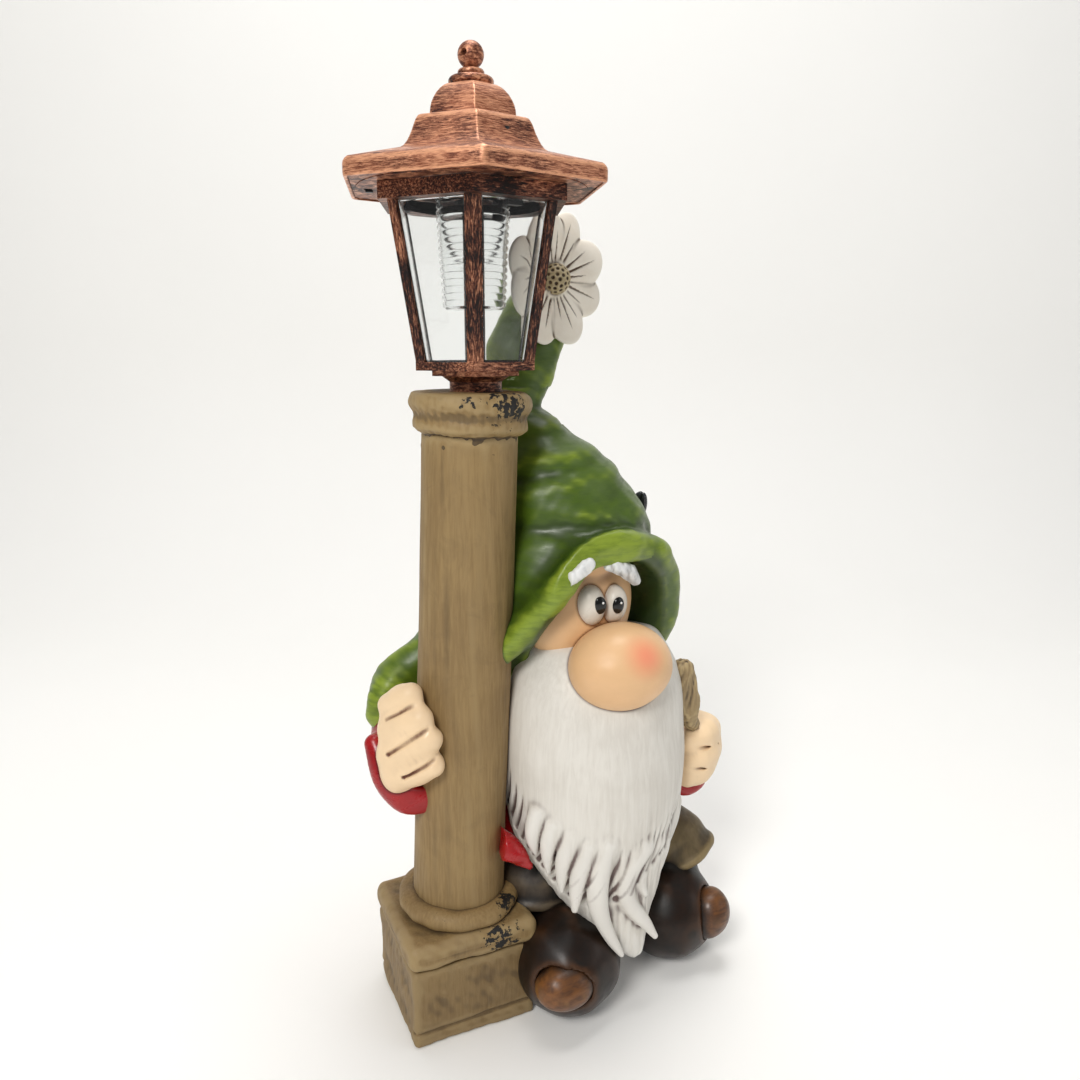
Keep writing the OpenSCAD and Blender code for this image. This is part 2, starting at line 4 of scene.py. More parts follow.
import bpy
import numpy as np
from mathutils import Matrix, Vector


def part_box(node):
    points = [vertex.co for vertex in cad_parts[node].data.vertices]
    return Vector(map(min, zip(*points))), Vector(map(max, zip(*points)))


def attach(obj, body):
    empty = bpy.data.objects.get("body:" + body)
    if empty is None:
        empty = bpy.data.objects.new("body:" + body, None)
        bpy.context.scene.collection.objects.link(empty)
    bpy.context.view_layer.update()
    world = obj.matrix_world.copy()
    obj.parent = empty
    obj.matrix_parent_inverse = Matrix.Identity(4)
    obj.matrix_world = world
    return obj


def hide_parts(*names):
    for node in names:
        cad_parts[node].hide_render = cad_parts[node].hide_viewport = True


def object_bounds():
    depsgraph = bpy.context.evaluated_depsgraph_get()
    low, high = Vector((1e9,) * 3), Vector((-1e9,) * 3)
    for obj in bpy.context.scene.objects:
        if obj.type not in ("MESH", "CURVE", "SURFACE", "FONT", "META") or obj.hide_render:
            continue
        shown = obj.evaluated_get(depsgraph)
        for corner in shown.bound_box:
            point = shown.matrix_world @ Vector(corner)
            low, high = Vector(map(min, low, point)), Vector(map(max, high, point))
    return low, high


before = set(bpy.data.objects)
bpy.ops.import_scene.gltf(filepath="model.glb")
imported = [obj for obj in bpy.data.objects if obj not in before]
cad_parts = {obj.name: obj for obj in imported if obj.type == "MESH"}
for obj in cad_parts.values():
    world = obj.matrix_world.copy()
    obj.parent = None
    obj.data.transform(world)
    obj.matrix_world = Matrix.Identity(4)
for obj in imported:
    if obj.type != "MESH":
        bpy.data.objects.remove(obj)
cad_lo, cad_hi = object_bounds()

MM = 0.001  # the shapes below are worked out in millimetres
PHI = math.pi * (3 - math.sqrt(5))


# ---------- places, from the frame ----------
def centre(node):
    lo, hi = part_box(node)
    return np.array([(a + b) / 2 / MM for a, b in zip(lo, hi)])


def corners(*nodes, pad=4.0):
    """Lowest and highest corner of the nodes together, with a margin."""
    boxes = [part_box(n) for n in nodes]
    lo = np.min([b[0] for b in boxes], axis=0) / MM
    hi = np.max([b[1] for b in boxes], axis=0) / MM
    return lo - pad, hi + pad


# ---------- shapes as signed distances: p is an array of points, one row each ----------
def turned(p, c, turn=(0, 0, 0)):
    """The points seen from a frame at c that is turned by degrees about x, then y, then z."""
    q = p - np.asarray(c, float)
    for axis, angle in reversed(list(enumerate(turn))):
        if angle:
            a = math.radians(angle)
            u, v = [(1, 2), (2, 0), (0, 1)][axis]
            q = q.copy()
            q[:, u], q[:, v] = (
                q[:, u] * math.cos(a) + q[:, v] * math.sin(a),
                q[:, v] * math.cos(a) - q[:, u] * math.sin(a),
            )
    return q


def egg(p, c, half, turn=(0, 0, 0)):
    q = turned(p, c, turn) / np.asarray(half, float)
    k = np.linalg.norm(q, axis=1)
    g = np.linalg.norm(q / np.asarray(half, float), axis=1)
    return k * (k - 1) / np.maximum(g, 1e-6)


def rounded_box(p, c, half, r):
    q = np.abs(p - np.asarray(c, float)) - (np.asarray(half, float) - r)
    return np.linalg.norm(np.maximum(q, 0), axis=1) + np.minimum(q.max(axis=1), 0) - r


def join(a, b, k):
    h = np.clip(0.5 + 0.5 * (b - a) / k, 0, 1)
    return b + (a - b) * h - k * h * (1 - h)


def cut(a, b, k):
    return -join(-a, b, k)


def spline(rows, n=4):
    """A smooth curve through the rows, n steps from one to the next."""
    rows = np.asarray(rows, float)
    e = np.vstack([2 * rows[0] - rows[1], rows, 2 * rows[-1] - rows[-2]])
    out = []
    for a, b, c, d in zip(e[:-3], e[1:-2], e[2:-1], e[3:]):
        for t in np.arange(n) / n:
            out.append((2 * b + (c - a) * t + (2 * a - 5 * b + 4 * c - d) * t * t
                        + (3 * b - a - 3 * c + d) * t ** 3) / 2)
    return np.array(out + [rows[-1]])


def limb(p, rows, n=4):
    """A round tube through rows of x, y, z and radius."""
    s = spline(rows, n)
    best = np.full(len(p), 1e9)
    for a, b in zip(s[:-1], s[1:]):
        ab = b[:3] - a[:3]
        w = p - a[:3]
        t = np.clip(w @ ab / (ab @ ab), 0, 1)
        d = np.linalg.norm(w - t[:, None] * ab, axis=1) - (a[3] + (b[3] - a[3]) * t)
        best = np.minimum(best, d)
    return best


def loft(p, rows, cap=4.0, n=6):
    """Level ovals through rows of x, y, z, half width and half depth, with rounded ends."""
    s = spline(rows, n)
    s = s[np.argsort(s[:, 2])]
    z = np.clip(p[:, 2], s[0, 2], s[-1, 2])
    cx, cy, a, b = (np.interp(z, s[:, 2], s[:, i]) for i in (0, 1, 3, 4))
    x, y = p[:, 0] - cx, p[:, 1] - cy
    k = np.sqrt((x / a) ** 2 + (y / b) ** 2)
    g = np.sqrt((x / a ** 2) ** 2 + (y / b ** 2) ** 2)
    side = np.where(k > 0.02, k * (k - 1) / np.maximum(g, 1e-6), -np.minimum(a, b))
    ends = np.maximum(s[0, 2] - p[:, 2], p[:, 2] - s[-1, 2])
    return cut(side, -ends, cap)


def groove(p, path, width, depth, n=5):
    """How far a tapered groove along a path presses in at each point."""
    s = spline(path, n)
    best = np.full(len(p), 1e9)
    for a, b in zip(s[:-1], s[1:]):
        ab = b - a
        t = np.clip((p - a) @ ab / (ab @ ab), 0, 1)
        best = np.minimum(best, np.linalg.norm(p - a - t[:, None] * ab, axis=1))
    return depth * np.exp(-(best / width) ** 2)


def lumps(p, size, seed):
    """Soft unevenness between about -1 and 1, with lumps of that size."""
    rng = np.random.default_rng(seed)
    total = np.zeros(len(p))
    for _ in range(7):
        way = rng.normal(size=3)
        way *= rng.uniform(0.7, 1.5) * 2 * math.pi / size / np.linalg.norm(way)
        total += np.sin(p @ way + rng.uniform(0, 6.3))
    return total / 3.2


# ---------- a surface from a distance ----------
def sampled(f, lo, hi, h, block=4):
    """The field on a grid. Blocks far from the surface are only given their sign."""
    blocks = np.maximum(np.ceil((hi - lo) / (h * block)).astype(int), 1)
    at = np.stack(np.meshgrid(*[np.arange(n) for n in blocks], indexing="ij"), -1).reshape(-1, 3)
    mid = f(lo + (at + 0.5) * block * h)
    grid = np.empty(tuple(blocks * block), np.float32)
    coarse = np.where(mid < 0, -9.0, 9.0).reshape(blocks).astype(np.float32)
    grid[:] = coarse.repeat(block, 0).repeat(block, 1).repeat(block, 2)
    near = at[np.abs(mid) < block * h * 1.9]
    step = np.stack(np.meshgrid(*[np.arange(block)] * 3, indexing="ij"), -1).reshape(-1, 3)
    fine = (near[:, None] * block + step[None]).reshape(-1, 3)
    for part in np.array_split(fine, max(1, len(fine) // 400000)):
        grid[tuple(part.T)] = f(lo + part * h)
    return grid


def surface(f, lo, hi, h):
    """Closed skin of quads round f < 0."""
    lo = lo - 2 * h
    grid = sampled(f, lo, hi + 2 * h, h)
    for axis in range(3):
        for end in (0, -1):
            grid[(slice(None),) * axis + (end,)] = h
    inside = grid < 0
    count = np.zeros(tuple(n - 1 for n in grid.shape), np.int8)
    steps = [(i, j, k) for i in (0, 1) for j in (0, 1) for k in (0, 1)]
    for i, j, k in steps:
        count += inside[i:grid.shape[0] - 1 + i, j:grid.shape[1] - 1 + j, k:grid.shape[2] - 1 + k]
    mixed = (count > 0) & (count < 8)
    cells = np.argwhere(mixed)
    number = np.full(mixed.shape, -1, np.int64)
    number[mixed] = np.arange(len(cells))
    value = np.stack([grid[tuple((cells + s).T)] for s in steps], 1)
    total, hits = np.zeros((len(cells), 3)), np.zeros(len(cells))
    for a, sa in enumerate(steps):
        for b, sb in enumerate(steps):
            if b > a and sum(abs(x - y) for x, y in zip(sa, sb)) == 1:
                va, vb = value[:, a], value[:, b]
                crosses = (va < 0) != (vb < 0)
                t = np.where(crosses, va / np.where(crosses, va - vb, 1), 0)[:, None]
                total += crosses[:, None] * (np.array(sa) + (np.array(sb) - sa) * t)
                hits += crosses
    v = lo + (cells + total / hits[:, None]) * h
    quads = []
    for axis in range(3):
        one = np.eye(3, dtype=int)
        u, w = one[(axis + 1) % 3], one[(axis + 2) % 3]
        ahead = tuple(slice(1, None) if i == axis else slice(None) for i in range(3))
        back = tuple(slice(None, -1) if i == axis else slice(None) for i in range(3))
        change = inside[back] != inside[ahead]
        at = np.argwhere(change)
        at = at[(at[:, (axis + 1) % 3] > 0) & (at[:, (axis + 2) % 3] > 0)]
        q = np.stack([number[tuple((at - s).T)] for s in (0 * u, u, u + w, w)], 1)
        starts_in = inside[tuple(at.T)]
        quads.append(np.where(starts_in[:, None], q, q[:, ::-1]))
    quads = np.vstack(quads)
    v, _ = settle(f, v, h)
    return v, quads


def slope(f, v, e=0.25):
    """The distance at each vertex and the direction in which it grows."""
    d = f(v)
    g = np.stack([(f(v + e * axis) - d) / e for axis in np.eye(3)], 1)
    return d, g


def settle(f, v, h):
    """Moves each vertex onto the surface, by about h at most, and also gives the slope where it was."""
    d, g = slope(f, v)
    move = np.clip(-d / np.maximum((g * g).sum(1), 0.05), -h, h)
    return v + move[:, None] * g * 0.9, g


def relief(v, quads, normal, rounds):
    """How far each vertex stands above (+) or below (-) the smoothed skin, in mm."""
    a = quads.reshape(-1)
    b = np.roll(quads, -1, axis=1).reshape(-1)
    degree = np.bincount(a, minlength=len(v)) + 1e-9
    s = v.copy()
    for _ in range(rounds):
        s = np.stack([np.bincount(a, s[b, i], len(v)) for i in range(3)], 1) / degree[:, None]
    return ((v - s) * normal).sum(1)


def new_object(name, v, faces):
    """A smooth-shaded mesh object from places in millimetres."""
    mesh = bpy.data.meshes.new(name)
    mesh.from_pydata((np.asarray(v) * MM).tolist(), [], faces)
    mesh.polygons.foreach_set("use_smooth", [True] * len(mesh.polygons))
    mesh.update()
    obj = bpy.data.objects.new(name, mesh)
    bpy.context.scene.collection.objects.link(obj)
    return obj


def spread(obj, name, values):
    layer = obj.data.attributes.new(name, "FLOAT", "POINT")
    layer.data.foreach_set("value", np.asarray(values, np.float32))


def belongs(obj, body, nodes, material):
    obj.data.materials.clear()
    obj.data.materials.append(material)
    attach(obj, body)
    if nodes:
        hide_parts(*nodes)
    return obj


fields = {}  # name of piece -> its distance in the frame, for painted shade where pieces meet


def sculpt(name, f, h, material, nodes=None, around=None, pad=3, near=(), fine=5, broad=40,
           sharp=(0.22, 1.3), lines=None):
    """Makes a piece from a distance, with paint guides: crease for dark paint and painted shade, edge for
    light paint and painted highlight, and touch_shade for painted shade near the pieces in near.

    It replaces the nodes, or the node of its own name, and is looked for within pad mm of them, or of the
    nodes in around.
    """
    nodes = [name.lower()] if nodes is None else nodes
    lo, hi = corners(*(around or nodes), pad=pad)
    v, quads = surface(f, lo, hi, h)
    fields[name] = f
    v, g = settle(f, v, h)
    normal = g / np.maximum(np.linalg.norm(g, axis=1), 1e-6)[:, None]
    obj = new_object(name, v, quads.tolist())
    small, large = relief(v, quads, normal, fine), relief(v, quads, normal, broad)
    small, large = small - np.median(small), large - np.median(large)
    both = small / sharp[0] + large / sharp[1]
    spread(obj, "crease", np.clip(lines(v) - 0.25 * both if lines else -both, 0, 1))
    spread(obj, "edge", np.clip(both, 0, 1))
    gap = np.full(len(v), 99.0)
    for other in near:
        gap = np.minimum(gap, fields[other](v))
    spread(obj, "touch_shade", np.exp(-np.maximum(gap, 0) / 1.6) * (gap < 20))
    return belongs(obj, "figure", nodes, material)


# ---------- materials ----------
def rgb(r, g, b):
    """A colour given as it looks on a screen, as light."""
    return tuple(((c / 255 + 0.055) / 1.055) ** 2.4 if c > 10 else c / 255 / 12.92 for c in (r, g, b)) + (1,)


def dimmed(colour, by):
    return tuple(c * by for c in colour[:3]) + (1,)


class Paint:
    """A procedural material under construction."""

    def __init__(self, name, rough=0.5, **inputs):
        self.mat = bpy.data.materials.new(name)
        self.mat.use_nodes = True
        self.nt = self.mat.node_tree
        self.shader = self.nt.nodes["Principled BSDF"]
        self.place = self.node("TexCoord").outputs["Object"]
        self.shader.inputs["Roughness"].default_value = rough
        for key, value in inputs.items():
            self.shader.inputs[key.replace("_", " ")].default_value = value

    def node(self, kind, **props):
        made = self.nt.nodes.new("ShaderNode" + kind)
        for key, value in props.items():
            setattr(made, key, value)
        return made

    def put(self, socket, value):
        if isinstance(value, bpy.types.NodeSocket):
            self.nt.links.new(value, socket)
        else:
            socket.default_value = value

    def scaled(self, scale, turn=(0, 0, 0)):
        n = self.node("Mapping")
        self.put(n.inputs["Vector"], self.place)
        n.inputs["Scale"].default_value = scale
        n.inputs["Rotation"].default_value = [math.radians(a) for a in turn]
        return n.outputs["Vector"]

    def noise(self, scale, detail=4, rough=0.55, vector=None, warp=0.0):
        n = self.node("TexNoise")
        self.put(n.inputs["Vector"], self.place if vector is None else vector)
        for key, value in (("Scale", scale), ("Detail", detail), ("Roughness", rough), ("Distortion", warp)):
            n.inputs[key].default_value = value
        return n.outputs["Fac"]

    def cells(self, scale, feature="F1", randomness=1.0):
        n = self.node("TexVoronoi", feature=feature)
        self.put(n.inputs["Vector"], self.place)
        n.inputs["Scale"].default_value = scale
        n.inputs["Randomness"].default_value = randomness
        return n.outputs["Distance"]

    def attr(self, name):
        return self.node("Attribute", attribute_name=name).outputs["Fac"]

    def band(self, value, lo, hi, to_lo=0.0, to_hi=1.0):
        n = self.node("MapRange", interpolation_type="SMOOTHSTEP")
        self.put(n.inputs["Value"], value)
        for key, x in (("From Min", lo), ("From Max", hi), ("To Min", to_lo), ("To Max", to_hi)):
            n.inputs[key].default_value = x
        return n.outputs["Result"]

    def math(self, op, a, b=0.0):
        n = self.node("Math", operation=op)
        self.put(n.inputs[0], a)
        self.put(n.inputs[1], b)
        return n.outputs[0]

    def mix(self, by, a, b):
        n = self.node("Mix", data_type="RGBA")
        self.put(n.inputs[0], by)
        self.put(n.inputs[6], a)
        self.put(n.inputs[7], b)
        return n.outputs[2]

    def spot(self, point, radius, soft=0.5):
        """1 near a point of the object given in mm, falling to 0 at the radius."""
        n = self.node("VectorMath", operation="DISTANCE")
        self.put(n.inputs[0], self.place)
        n.inputs[1].default_value = [c * MM for c in point]
        return self.band(n.outputs["Value"], radius * MM * soft, radius * MM, 1, 0)

    def dented(self, height, depth_mm):
        n = self.node("Bump")
        n.inputs["Strength"].default_value = 1.0
        n.inputs["Distance"].default_value = depth_mm * MM
        self.put(n.inputs["Height"], height)
        self.put(self.shader.inputs["Normal"], n.outputs["Normal"])

    def done(self, colour, rough=None):
        self.put(self.shader.inputs["Base Color"], colour)
        if rough is not None:
            self.put(self.shader.inputs["Roughness"], rough)
        return self.mat


def hand_painted(name, base, tone, dark, light, streak, rough=0.45, wash=0.8, dry=0.6, patch=30,
                 turn=(0, 0, 0), bump=0.12, contact_shade=0.8, extra=None, **inputs):
    """Cast resin under acrylics: mottled base coat; dark in the creases, partly thinned dark paint and partly
    painted shade; light on the edges, partly light brushing and partly painted highlight; painted shade where
    pieces meet.
    """
    m = Paint(name, rough, **inputs)
    line = m.noise(1.0, 5, 0.6, m.scaled(streak, turn), 0.4)
    cloud = m.noise(patch, 3, 0.55, warp=0.6)
    mottle = m.math("ADD", m.math("MULTIPLY", line, 0.5), m.math("MULTIPLY", cloud, 0.5))
    colour = m.mix(m.band(mottle, 0.34, 0.66), base, tone)
    # Light colour on the edges: partly light brushing, partly painted highlight.
    edge_brush_and_highlight = m.math("MULTIPLY", m.attr("edge"), m.band(line, 0.25, 0.7, 0.45, 1.0))
    colour = m.mix(m.band(edge_brush_and_highlight, 0.0, 1.0, 0, dry), colour, light)
    # Dark colour in the creases: partly thinned dark paint, partly painted shade.
    crease_wash_and_shade = m.math("MULTIPLY", m.attr("crease"), m.band(cloud, 0.2, 0.7, 0.6, 1.15))
    colour = m.mix(m.band(crease_wash_and_shade, 0.05, 1.0, 0, wash), colour, dark)
    # Painted shade where this piece meets the pieces given in near.
    colour = m.mix(m.math("MULTIPLY", m.band(m.attr("touch_shade"), 0.35, 1.0), contact_shade), colour, dark)
    if extra:
        colour = extra(m, colour)
    grit = m.noise(900, 4, 0.6)
    m.dented(m.math("ADD", m.math("MULTIPLY", line, 0.8), m.math("MULTIPLY", grit, 0.35)), bump)
    return m.done(colour, m.band(line, 0.25, 0.75, rough - 0.08, rough + 0.12))


# ---------- the paints ----------
# In every paint, the dark colour fills creases and the places where pieces meet, as thinned dark paint
# together with painted shade, and the light colour goes on the edges, as light brushing together with painted
# highlight.
cast_stone = dict(streak=(700, 700, 60), rough=0.62, wash=0.5, dry=0.45, patch=30, bump=0.2)


def chipped(spots, level=0.5):
    """Black chips in the paint round the given points of the object: (x, y, z, reach)."""
    def add(m, colour):
        reach = 0.0
        for *point, radius in spots:
            reach = m.math("MAXIMUM", reach, m.spot(point, radius, 0.2))
        flake = m.noise(330, 5, 0.62, warp=0.3)
        hit = m.band(m.math("ADD", m.math("MULTIPLY", reach, 0.24), flake), level + 0.2, level + 0.215)
        return m.mix(hit, colour, rgb(22, 20, 18))
    return add


def pitted(m, colour):
    """Small dark pits and faint cracks of a rough casting."""
    pits = m.band(m.noise(260, 5, 0.72, warp=0.9), 0.285, 0.25)
    stain = m.band(m.noise(48, 5, 0.65, warp=1.2), 0.50, 0.30)
    colour = m.mix(m.math("MULTIPLY", stain, 0.22), colour, rgb(104, 84, 56))
    return m.mix(m.math("MULTIPLY", pits, 0.5), colour, rgb(58, 46, 32))


def stone_paint(name, extra=None, painted_shade=0.0):
    def both(m, colour):
        # The whole piece darkens towards a dull brown by the last argument: painted shade on the plinth.
        colour = m.mix(painted_shade, pitted(m, colour), rgb(92, 72, 46))
        return extra(m, colour) if extra else colour
    return hand_painted(name, rgb(150, 124, 80), rgb(132, 107, 68), rgb(50, 37, 24), rgb(184, 162, 118),
                        extra=both, **cast_stone)


def skin_paint(name, extra=None, wash=0.9, tint=rgb(234, 190, 142)):
    return hand_painted(name, tint, dimmed(tint, 0.92), rgb(96, 48, 26), rgb(252, 222, 184),
                        streak=(60, 60, 90), rough=0.40, wash=wash, dry=0.25, patch=18, bump=0.02,
                        contact_shade=0.85, extra=extra)


def copper(name, streak, bare=0.0, inner=None, rings=()):
    """Moulded black plastic with copper paint put on lightly with a nearly empty brush; edges take more and
    lighter copper, partly as wear and partly as painted highlight. A higher bare leaves more black.
    """
    m = Paint(name, 0.42)
    stroke = m.noise(1.0, 7, 0.72, m.scaled(streak), 0.5)
    if rings:
        split = m.node("SeparateXYZ")
        m.put(split.inputs[0], m.place)
        level = m.noise(1.0, 7, 0.72, m.scaled(streak[::-1]), 0.5)
        for lo, hi in rings:
            by = m.math("MULTIPLY", m.math("GREATER_THAN", split.outputs["Z"], lo * MM),
                        m.math("LESS_THAN", split.outputs["Z"], hi * MM))
            stroke = m.math("ADD", m.math("MULTIPLY", stroke, m.math("SUBTRACT", 1.0, by)),
                            m.math("MULTIPLY", level, by))
    cloud = m.noise(38, 3, 0.6, warp=0.5)
    grain = m.noise(1400, 3, 0.6)
    # Edges take more copper here and a lighter tint below: partly wear, partly painted highlight.
    cover = m.math("ADD", m.math("ADD", m.math("MULTIPLY", stroke, 0.62), m.math("MULTIPLY", cloud, 0.34)),
                   m.math("MULTIPLY", m.attr("edge"), 0.16))
    cover = m.math("ADD", cover, m.math("MULTIPLY", m.attr("crease"), -0.22))
    cover = m.math("ADD", cover, m.math("MULTIPLY", grain, 0.12))
    tint = m.mix(m.band(m.math("ADD", stroke, m.math("MULTIPLY", m.attr("edge"), 0.2)), 0.35, 0.75),
                 rgb(146, 78, 50), rgb(240, 176, 136))
    tint = m.mix(m.band(cover, 0.44 + bare, 0.62 + bare), rgb(80, 36, 24), tint)
    tint = m.mix(m.band(cover, 0.40 + bare, 0.50 + bare, 1, 0), tint, rgb(20, 14, 13))
    if inner:
        tint = inner(m, tint)
    m.dented(m.math("ADD", stroke, m.math("MULTIPLY", grain, 0.5)), 0.12)
    m.shader.inputs["Metallic"].default_value = 0.4
    return m.done(tint, m.band(cover, 0.4, 0.7, 0.5, 0.36))


def shaded_inside(m, colour):
    return m.mix(m.math("MULTIPLY", m.attr("inside"), 0.82), colour, rgb(22, 46, 14))


# The light green on the fold crests and rim is partly light brushing, partly painted highlight; the dark
# green in the folds is partly thinned paint, partly painted shade.
hat_green = hand_painted("hat_paint", rgb(76, 100, 20), rgb(62, 86, 17), rgb(24, 42, 8), rgb(150, 170, 50),
                         streak=(90, 90, 420), rough=0.38, wash=0.55, dry=0.72, patch=14, bump=0.05,
                         extra=shaded_inside)
beard_white = hand_painted("beard_paint", rgb(228, 224, 216), rgb(214, 209, 200), rgb(92, 70, 66),
                           rgb(240, 238, 233), streak=(500, 500, 40), rough=0.5, wash=0.92, dry=0.4,
                           patch=26, bump=0.04)
brow_white = hand_painted("brow_paint", rgb(228, 228, 226), rgb(196, 200, 202), rgb(120, 112, 108),
                          rgb(246, 246, 246), streak=(300, 300, 300), rough=0.45, wash=0.7, dry=0.5,
                          bump=0.05, contact_shade=0.2)
eye_paint = hand_painted("eye_paint", rgb(228, 222, 212), rgb(216, 208, 196), rgb(128, 84, 56),
                         rgb(240, 236, 230), streak=(60, 60, 60), rough=0.3, wash=0.6, dry=0.2, bump=0.01,
                         contact_shade=0.75)
coat_red = hand_painted("coat_paint", rgb(164, 10, 20), rgb(136, 7, 16), rgb(48, 3, 8), rgb(192, 40, 38),
                        streak=(120, 120, 200), rough=0.28, wash=0.8, dry=0.3, bump=0.05)
trouser_grey = hand_painted("trouser_paint", rgb(116, 98, 64), rgb(92, 78, 50), rgb(48, 38, 26),
                            rgb(160, 140, 98), streak=(260, 260, 80), rough=0.5, wash=0.55, dry=0.5, bump=0.1)
boot_brown = hand_painted("boot_paint", rgb(38, 23, 14), rgb(17, 11, 7), rgb(5, 4, 3), rgb(84, 52, 26),
                          streak=(110, 110, 110), rough=0.36, wash=0.92, dry=0.6, patch=34, bump=0.06,
                          Specular_IOR_Level=0.35)
shaded_grey = hand_painted("shaded_trouser_paint", rgb(74, 62, 48), rgb(46, 38, 30), rgb(16, 12, 10),
                           rgb(112, 98, 76), streak=(260, 260, 80), rough=0.5, wash=0.95, dry=0.5, bump=0.12)
handle_wood = hand_painted("handle_paint", rgb(158, 136, 98), rgb(134, 112, 78), rgb(66, 50, 34),
                           rgb(196, 174, 130), streak=(900, 900, 60), rough=0.55, wash=0.9, dry=0.6,
                           turn=(0, 12, 0), bump=0.2)
leaf_black = hand_painted("leaf_paint", rgb(22, 23, 26), rgb(14, 15, 17), rgb(4, 4, 5), rgb(70, 72, 78),
                          streak=(120, 120, 120), rough=0.2, wash=0.8, dry=0.5, bump=0.04)


def plain_shader(name, colour, rough=0.4, bump=0.05, **inputs):
    """A moulded or drawn material with a light mottle and a fine grain."""
    m = Paint(name, rough, **inputs)
    cloud = m.noise(120, 4, 0.6)
    m.dented(m.noise(1600, 3, 0.6), bump)
    return m.done(m.mix(m.band(cloud, 0.35, 0.65), colour, dimmed(colour, 0.75)),
                  m.band(cloud, 0.3, 0.7, rough - 0.06, rough + 0.08))


# ---------- column ----------
FOOT, TOP = centre("column_foot_ring"), centre("column_capital")
LEAN = (TOP - FOOT) / np.linalg.norm(TOP - FOOT)
BORE, BORE_FLOOR = 12.7, 304.0
SHAFT_MIDDLE, SHAFT_HALF = 118.2, 127  # along the leaning axis, from the foot ring's middle
CAPITAL_AT, CAPITAL_TOP = 250.4, 325.6  # its neck along that axis, and its level top


def along_column(q):
    """Distance from the leaning axis and height along it, from the foot ring's middle."""
    w = q - FOOT
    t = w @ LEAN
    return np.linalg.norm(w - t[:, None] * LEAN, axis=1), t


def beads(r, t, rows):
    """Stacked rings: each row is the radius of the ring's middle, its height and its own radius."""
    return [np.hypot(np.maximum(r - a, 0), t - b) - c for a, b, c in rows]


def shaft(q):
    r, t = along_column(q)
    skin = r - (24.0 - 0.0035 * t)
    skin = skin - 0.25 * lumps(q * (1, 1, 0.25), 26, 3) - 0.12 * lumps(q * (1, 1, 0.1), 6, 4)
    return np.maximum(skin, np.abs(t - SHAFT_MIDDLE) - SHAFT_HALF)


def foot_ring(q):
    r, t = along_column(q)
    f = beads(r, t, [(26.3, 0, 5.3)])[0] - 0.35 * lumps(q, 17, 5)
    return np.maximum(f, 22.5 - r)


def capital(q):
    r, t = along_column(q)
    t = t - CAPITAL_AT
    big, low = beads(r, t, [(23.6, 9.0, 5.9), (23.6, -1.2, 3.9)])
    neck = np.maximum(r - 27.0, np.abs(t - 3.6) - 6.5)
    foot = np.maximum(r - 22.8, np.abs(t + 5) - 9)
    f = join(join(big, neck, 1.5), join(low, foot, 1.5), 1.2) - 0.3 * lumps(q, 15, 6) - 0.15 * lumps(q, 5, 61)
    f = cut(f, -(q[:, 2] - CAPITAL_TOP), 0.8)
    hole = np.hypot(q[:, 0] - LAMP[0], q[:, 1] - LAMP[1]) - BORE
    return np.maximum(f, -np.maximum(hole, BORE_FLOOR - q[:, 2]))


def slab(q):
    c = centre("plinth_slab")
    dome = 1.4 * np.clip(1 - np.linalg.norm((q - c)[:, :2], axis=1) / 48, 0, 1)
    f = rounded_box(q, c, (34.3, 34.3, 6.6), 4.6)
    return f - dome * (q[:, 2] > c[2]) * 0.6 - 0.45 * lumps(q, 23, 7) - 0.12 * lumps(q, 7, 8)


def block(q):
    c = centre("plinth_block")
    x, y, z = (q - c).T
    f = rounded_box(q, c, (32.6, 32.6, 21.4), 2.6) - 0.45 * lumps(q, 25, 9) - 0.12 * lumps(q, 6, 10)
    line = np.exp(-((z + 13 - 0.02 * x) / 1.1) ** 2) * ((x > 28) | (y < -28) | (y > 28))
    return cut(f + 1.3 * line, z + 21.2, 1)


LAMP = centre("finial_ball")
ring_chips = chipped([(22, -24, 62, 13)])
sculpt("Column_shaft", shaft, 1.3, stone_paint("shaft_paint"), pad=2)
sculpt("Column_capital", capital, 0.8,
       stone_paint("capital_paint", chipped([(24, -31, 322, 20), (2, -32, 325, 10)])), pad=2,
       near=["Column_shaft"])
sculpt("Column_foot_ring", foot_ring, 0.8, stone_paint("foot_ring_paint", ring_chips),
       pad=2, near=["Column_shaft"])
# The slab a little and the block more are darkened in stone_paint: painted shade.
sculpt("Plinth_slab", slab, 0.9,
       stone_paint("slab_paint", chipped([(14, -36, 52, 17)]), 0.1), pad=2,
       near=["Column_foot_ring", "Column_shaft"])
sculpt("Plinth_block", block, 1.0, stone_paint("block_paint", painted_shade=0.3), pad=1,
       near=["Plinth_slab"])


